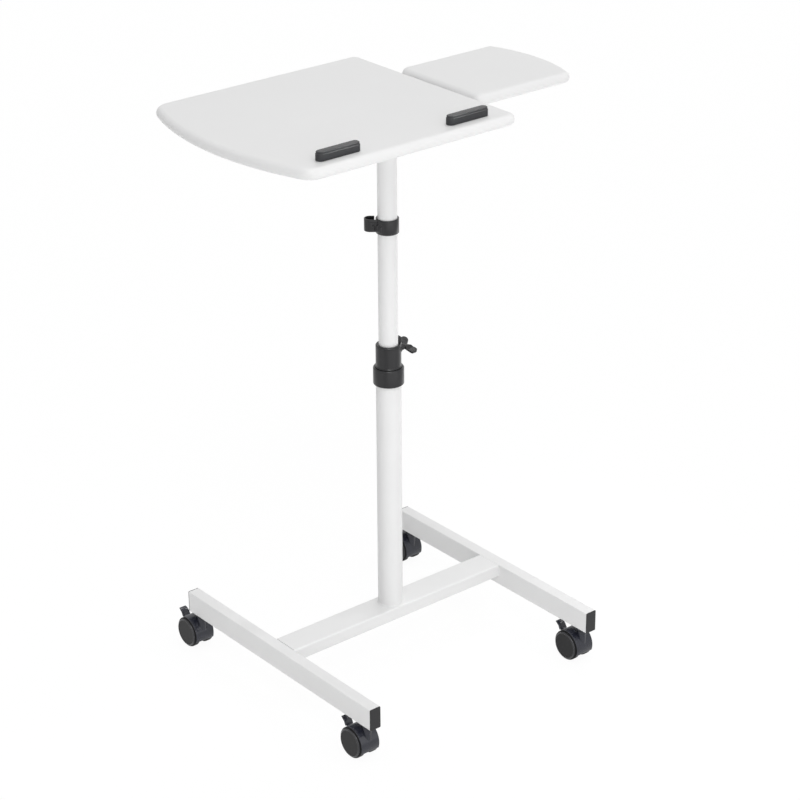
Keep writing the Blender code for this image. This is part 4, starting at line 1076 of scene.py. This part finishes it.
def hang_lamps(scene):
    """Lamps: the suns turned to their directions, the soft boxes upright on the floor, facing the column."""
    for name, turn, rise, wide, power in SUNS:
        lamp = bpy.data.lights.new(name, "SUN")
        lamp.energy, lamp.angle = power, np.radians(wide)
        obj = bpy.data.objects.new(name, lamp)
        obj.rotation_euler = (0, np.radians(90 - rise), np.radians(turn))
        scene.collection.objects.link(obj)
    for name, turn, away, wide, high, radiance in BOXES:
        lamp = bpy.data.lights.new(name, "AREA")
        lamp.shape, lamp.size, lamp.size_y = "RECTANGLE", wide, high
        lamp.energy = radiance * np.pi * wide * high
        obj = bpy.data.objects.new(name, lamp)
        a = np.radians(turn)
        obj.location = (COLUMN[0] + away * np.cos(a), COLUMN[1] + away * np.sin(a), high / 2)
        obj.rotation_euler = (QUARTER, 0, a + QUARTER)
        obj.visible_camera = False
        scene.collection.objects.link(obj)


def set_camera(scene):
    """Camera at its place, with its axes worked out from the three turns."""
    yaw, pitch, roll = CAMERA_TURNS
    ahead = Vector((np.sin(yaw) * np.cos(pitch), np.cos(yaw) * np.cos(pitch), -np.sin(pitch)))
    right = Vector((np.cos(yaw), -np.sin(yaw), 0))
    up = right.cross(ahead)
    side, over = right * np.cos(roll) + up * np.sin(roll), up * np.cos(roll) - right * np.sin(roll)
    camera = bpy.data.cameras.new("camera")
    camera.sensor_width = CAMERA_FRAME
    camera.lens = CAMERA_LENS
    camera.clip_end = CAMERA_SIGHT
    obj = bpy.data.objects.new("camera", camera)
    view = Matrix((side, over, -ahead)).transposed().to_4x4()
    view.translation = tuple(COLUMN + CAMERA_PLACE)
    obj.matrix_world = view
    scene.collection.objects.link(obj)
    scene.camera = obj


class STAND_OT_stage(bpy.types.Operator):
    """Sets the floor, the light and the camera"""

    bl_idname = "stand.stage"
    bl_label = "Stage"

    def execute(self, context):
        scene = context.scene
        scene.view_settings.view_transform = "Standard"
        lay_floor(scene)
        set_world(scene)
        hang_lamps(scene)
        set_camera(scene)
        return {"FINISHED"}


OPERATORS = (
    STAND_OT_finishes, STAND_OT_tops, STAND_OT_stops, STAND_OT_base, STAND_OT_column, STAND_OT_wing_screw,
    STAND_OT_cable_clip, STAND_OT_casters, STAND_OT_head, STAND_OT_stage)


class STAND_PT_panel(bpy.types.Panel):
    """Lists the stand's operators and settings"""

    bl_label = "Rolling laptop stand"
    bl_idname = "STAND_PT_panel"
    bl_space_type = "VIEW_3D"
    bl_region_type = "UI"
    bl_category = "Stand"

    def draw(self, context):
        settings = context.scene.stand
        for operator in OPERATORS:
            self.layout.operator(operator.bl_idname)
        for group in (settings.sizes, settings.colours):
            box = self.layout.box()
            for key in group.__annotations__:
                box.prop(group, key)


CLASSES = (StandSizes, StandColours, StandSettings, *OPERATORS, STAND_PT_panel)


def register():
    """Registers the classes and puts the stand's settings on the scene."""
    for item in CLASSES:
        bpy.utils.register_class(item)
    bpy.types.Scene.stand = bpy.props.PointerProperty(type=StandSettings)


def unregister():
    """Takes the settings and the classes out again."""
    del bpy.types.Scene.stand
    for item in reversed(CLASSES):
        bpy.utils.unregister_class(item)


def main():
    """Runs every operator in order."""
    register()
    for operator in OPERATORS:
        group, name = operator.bl_idname.split(".")
        getattr(getattr(bpy.ops, group), name)()


if __name__ == "__main__":
    main()
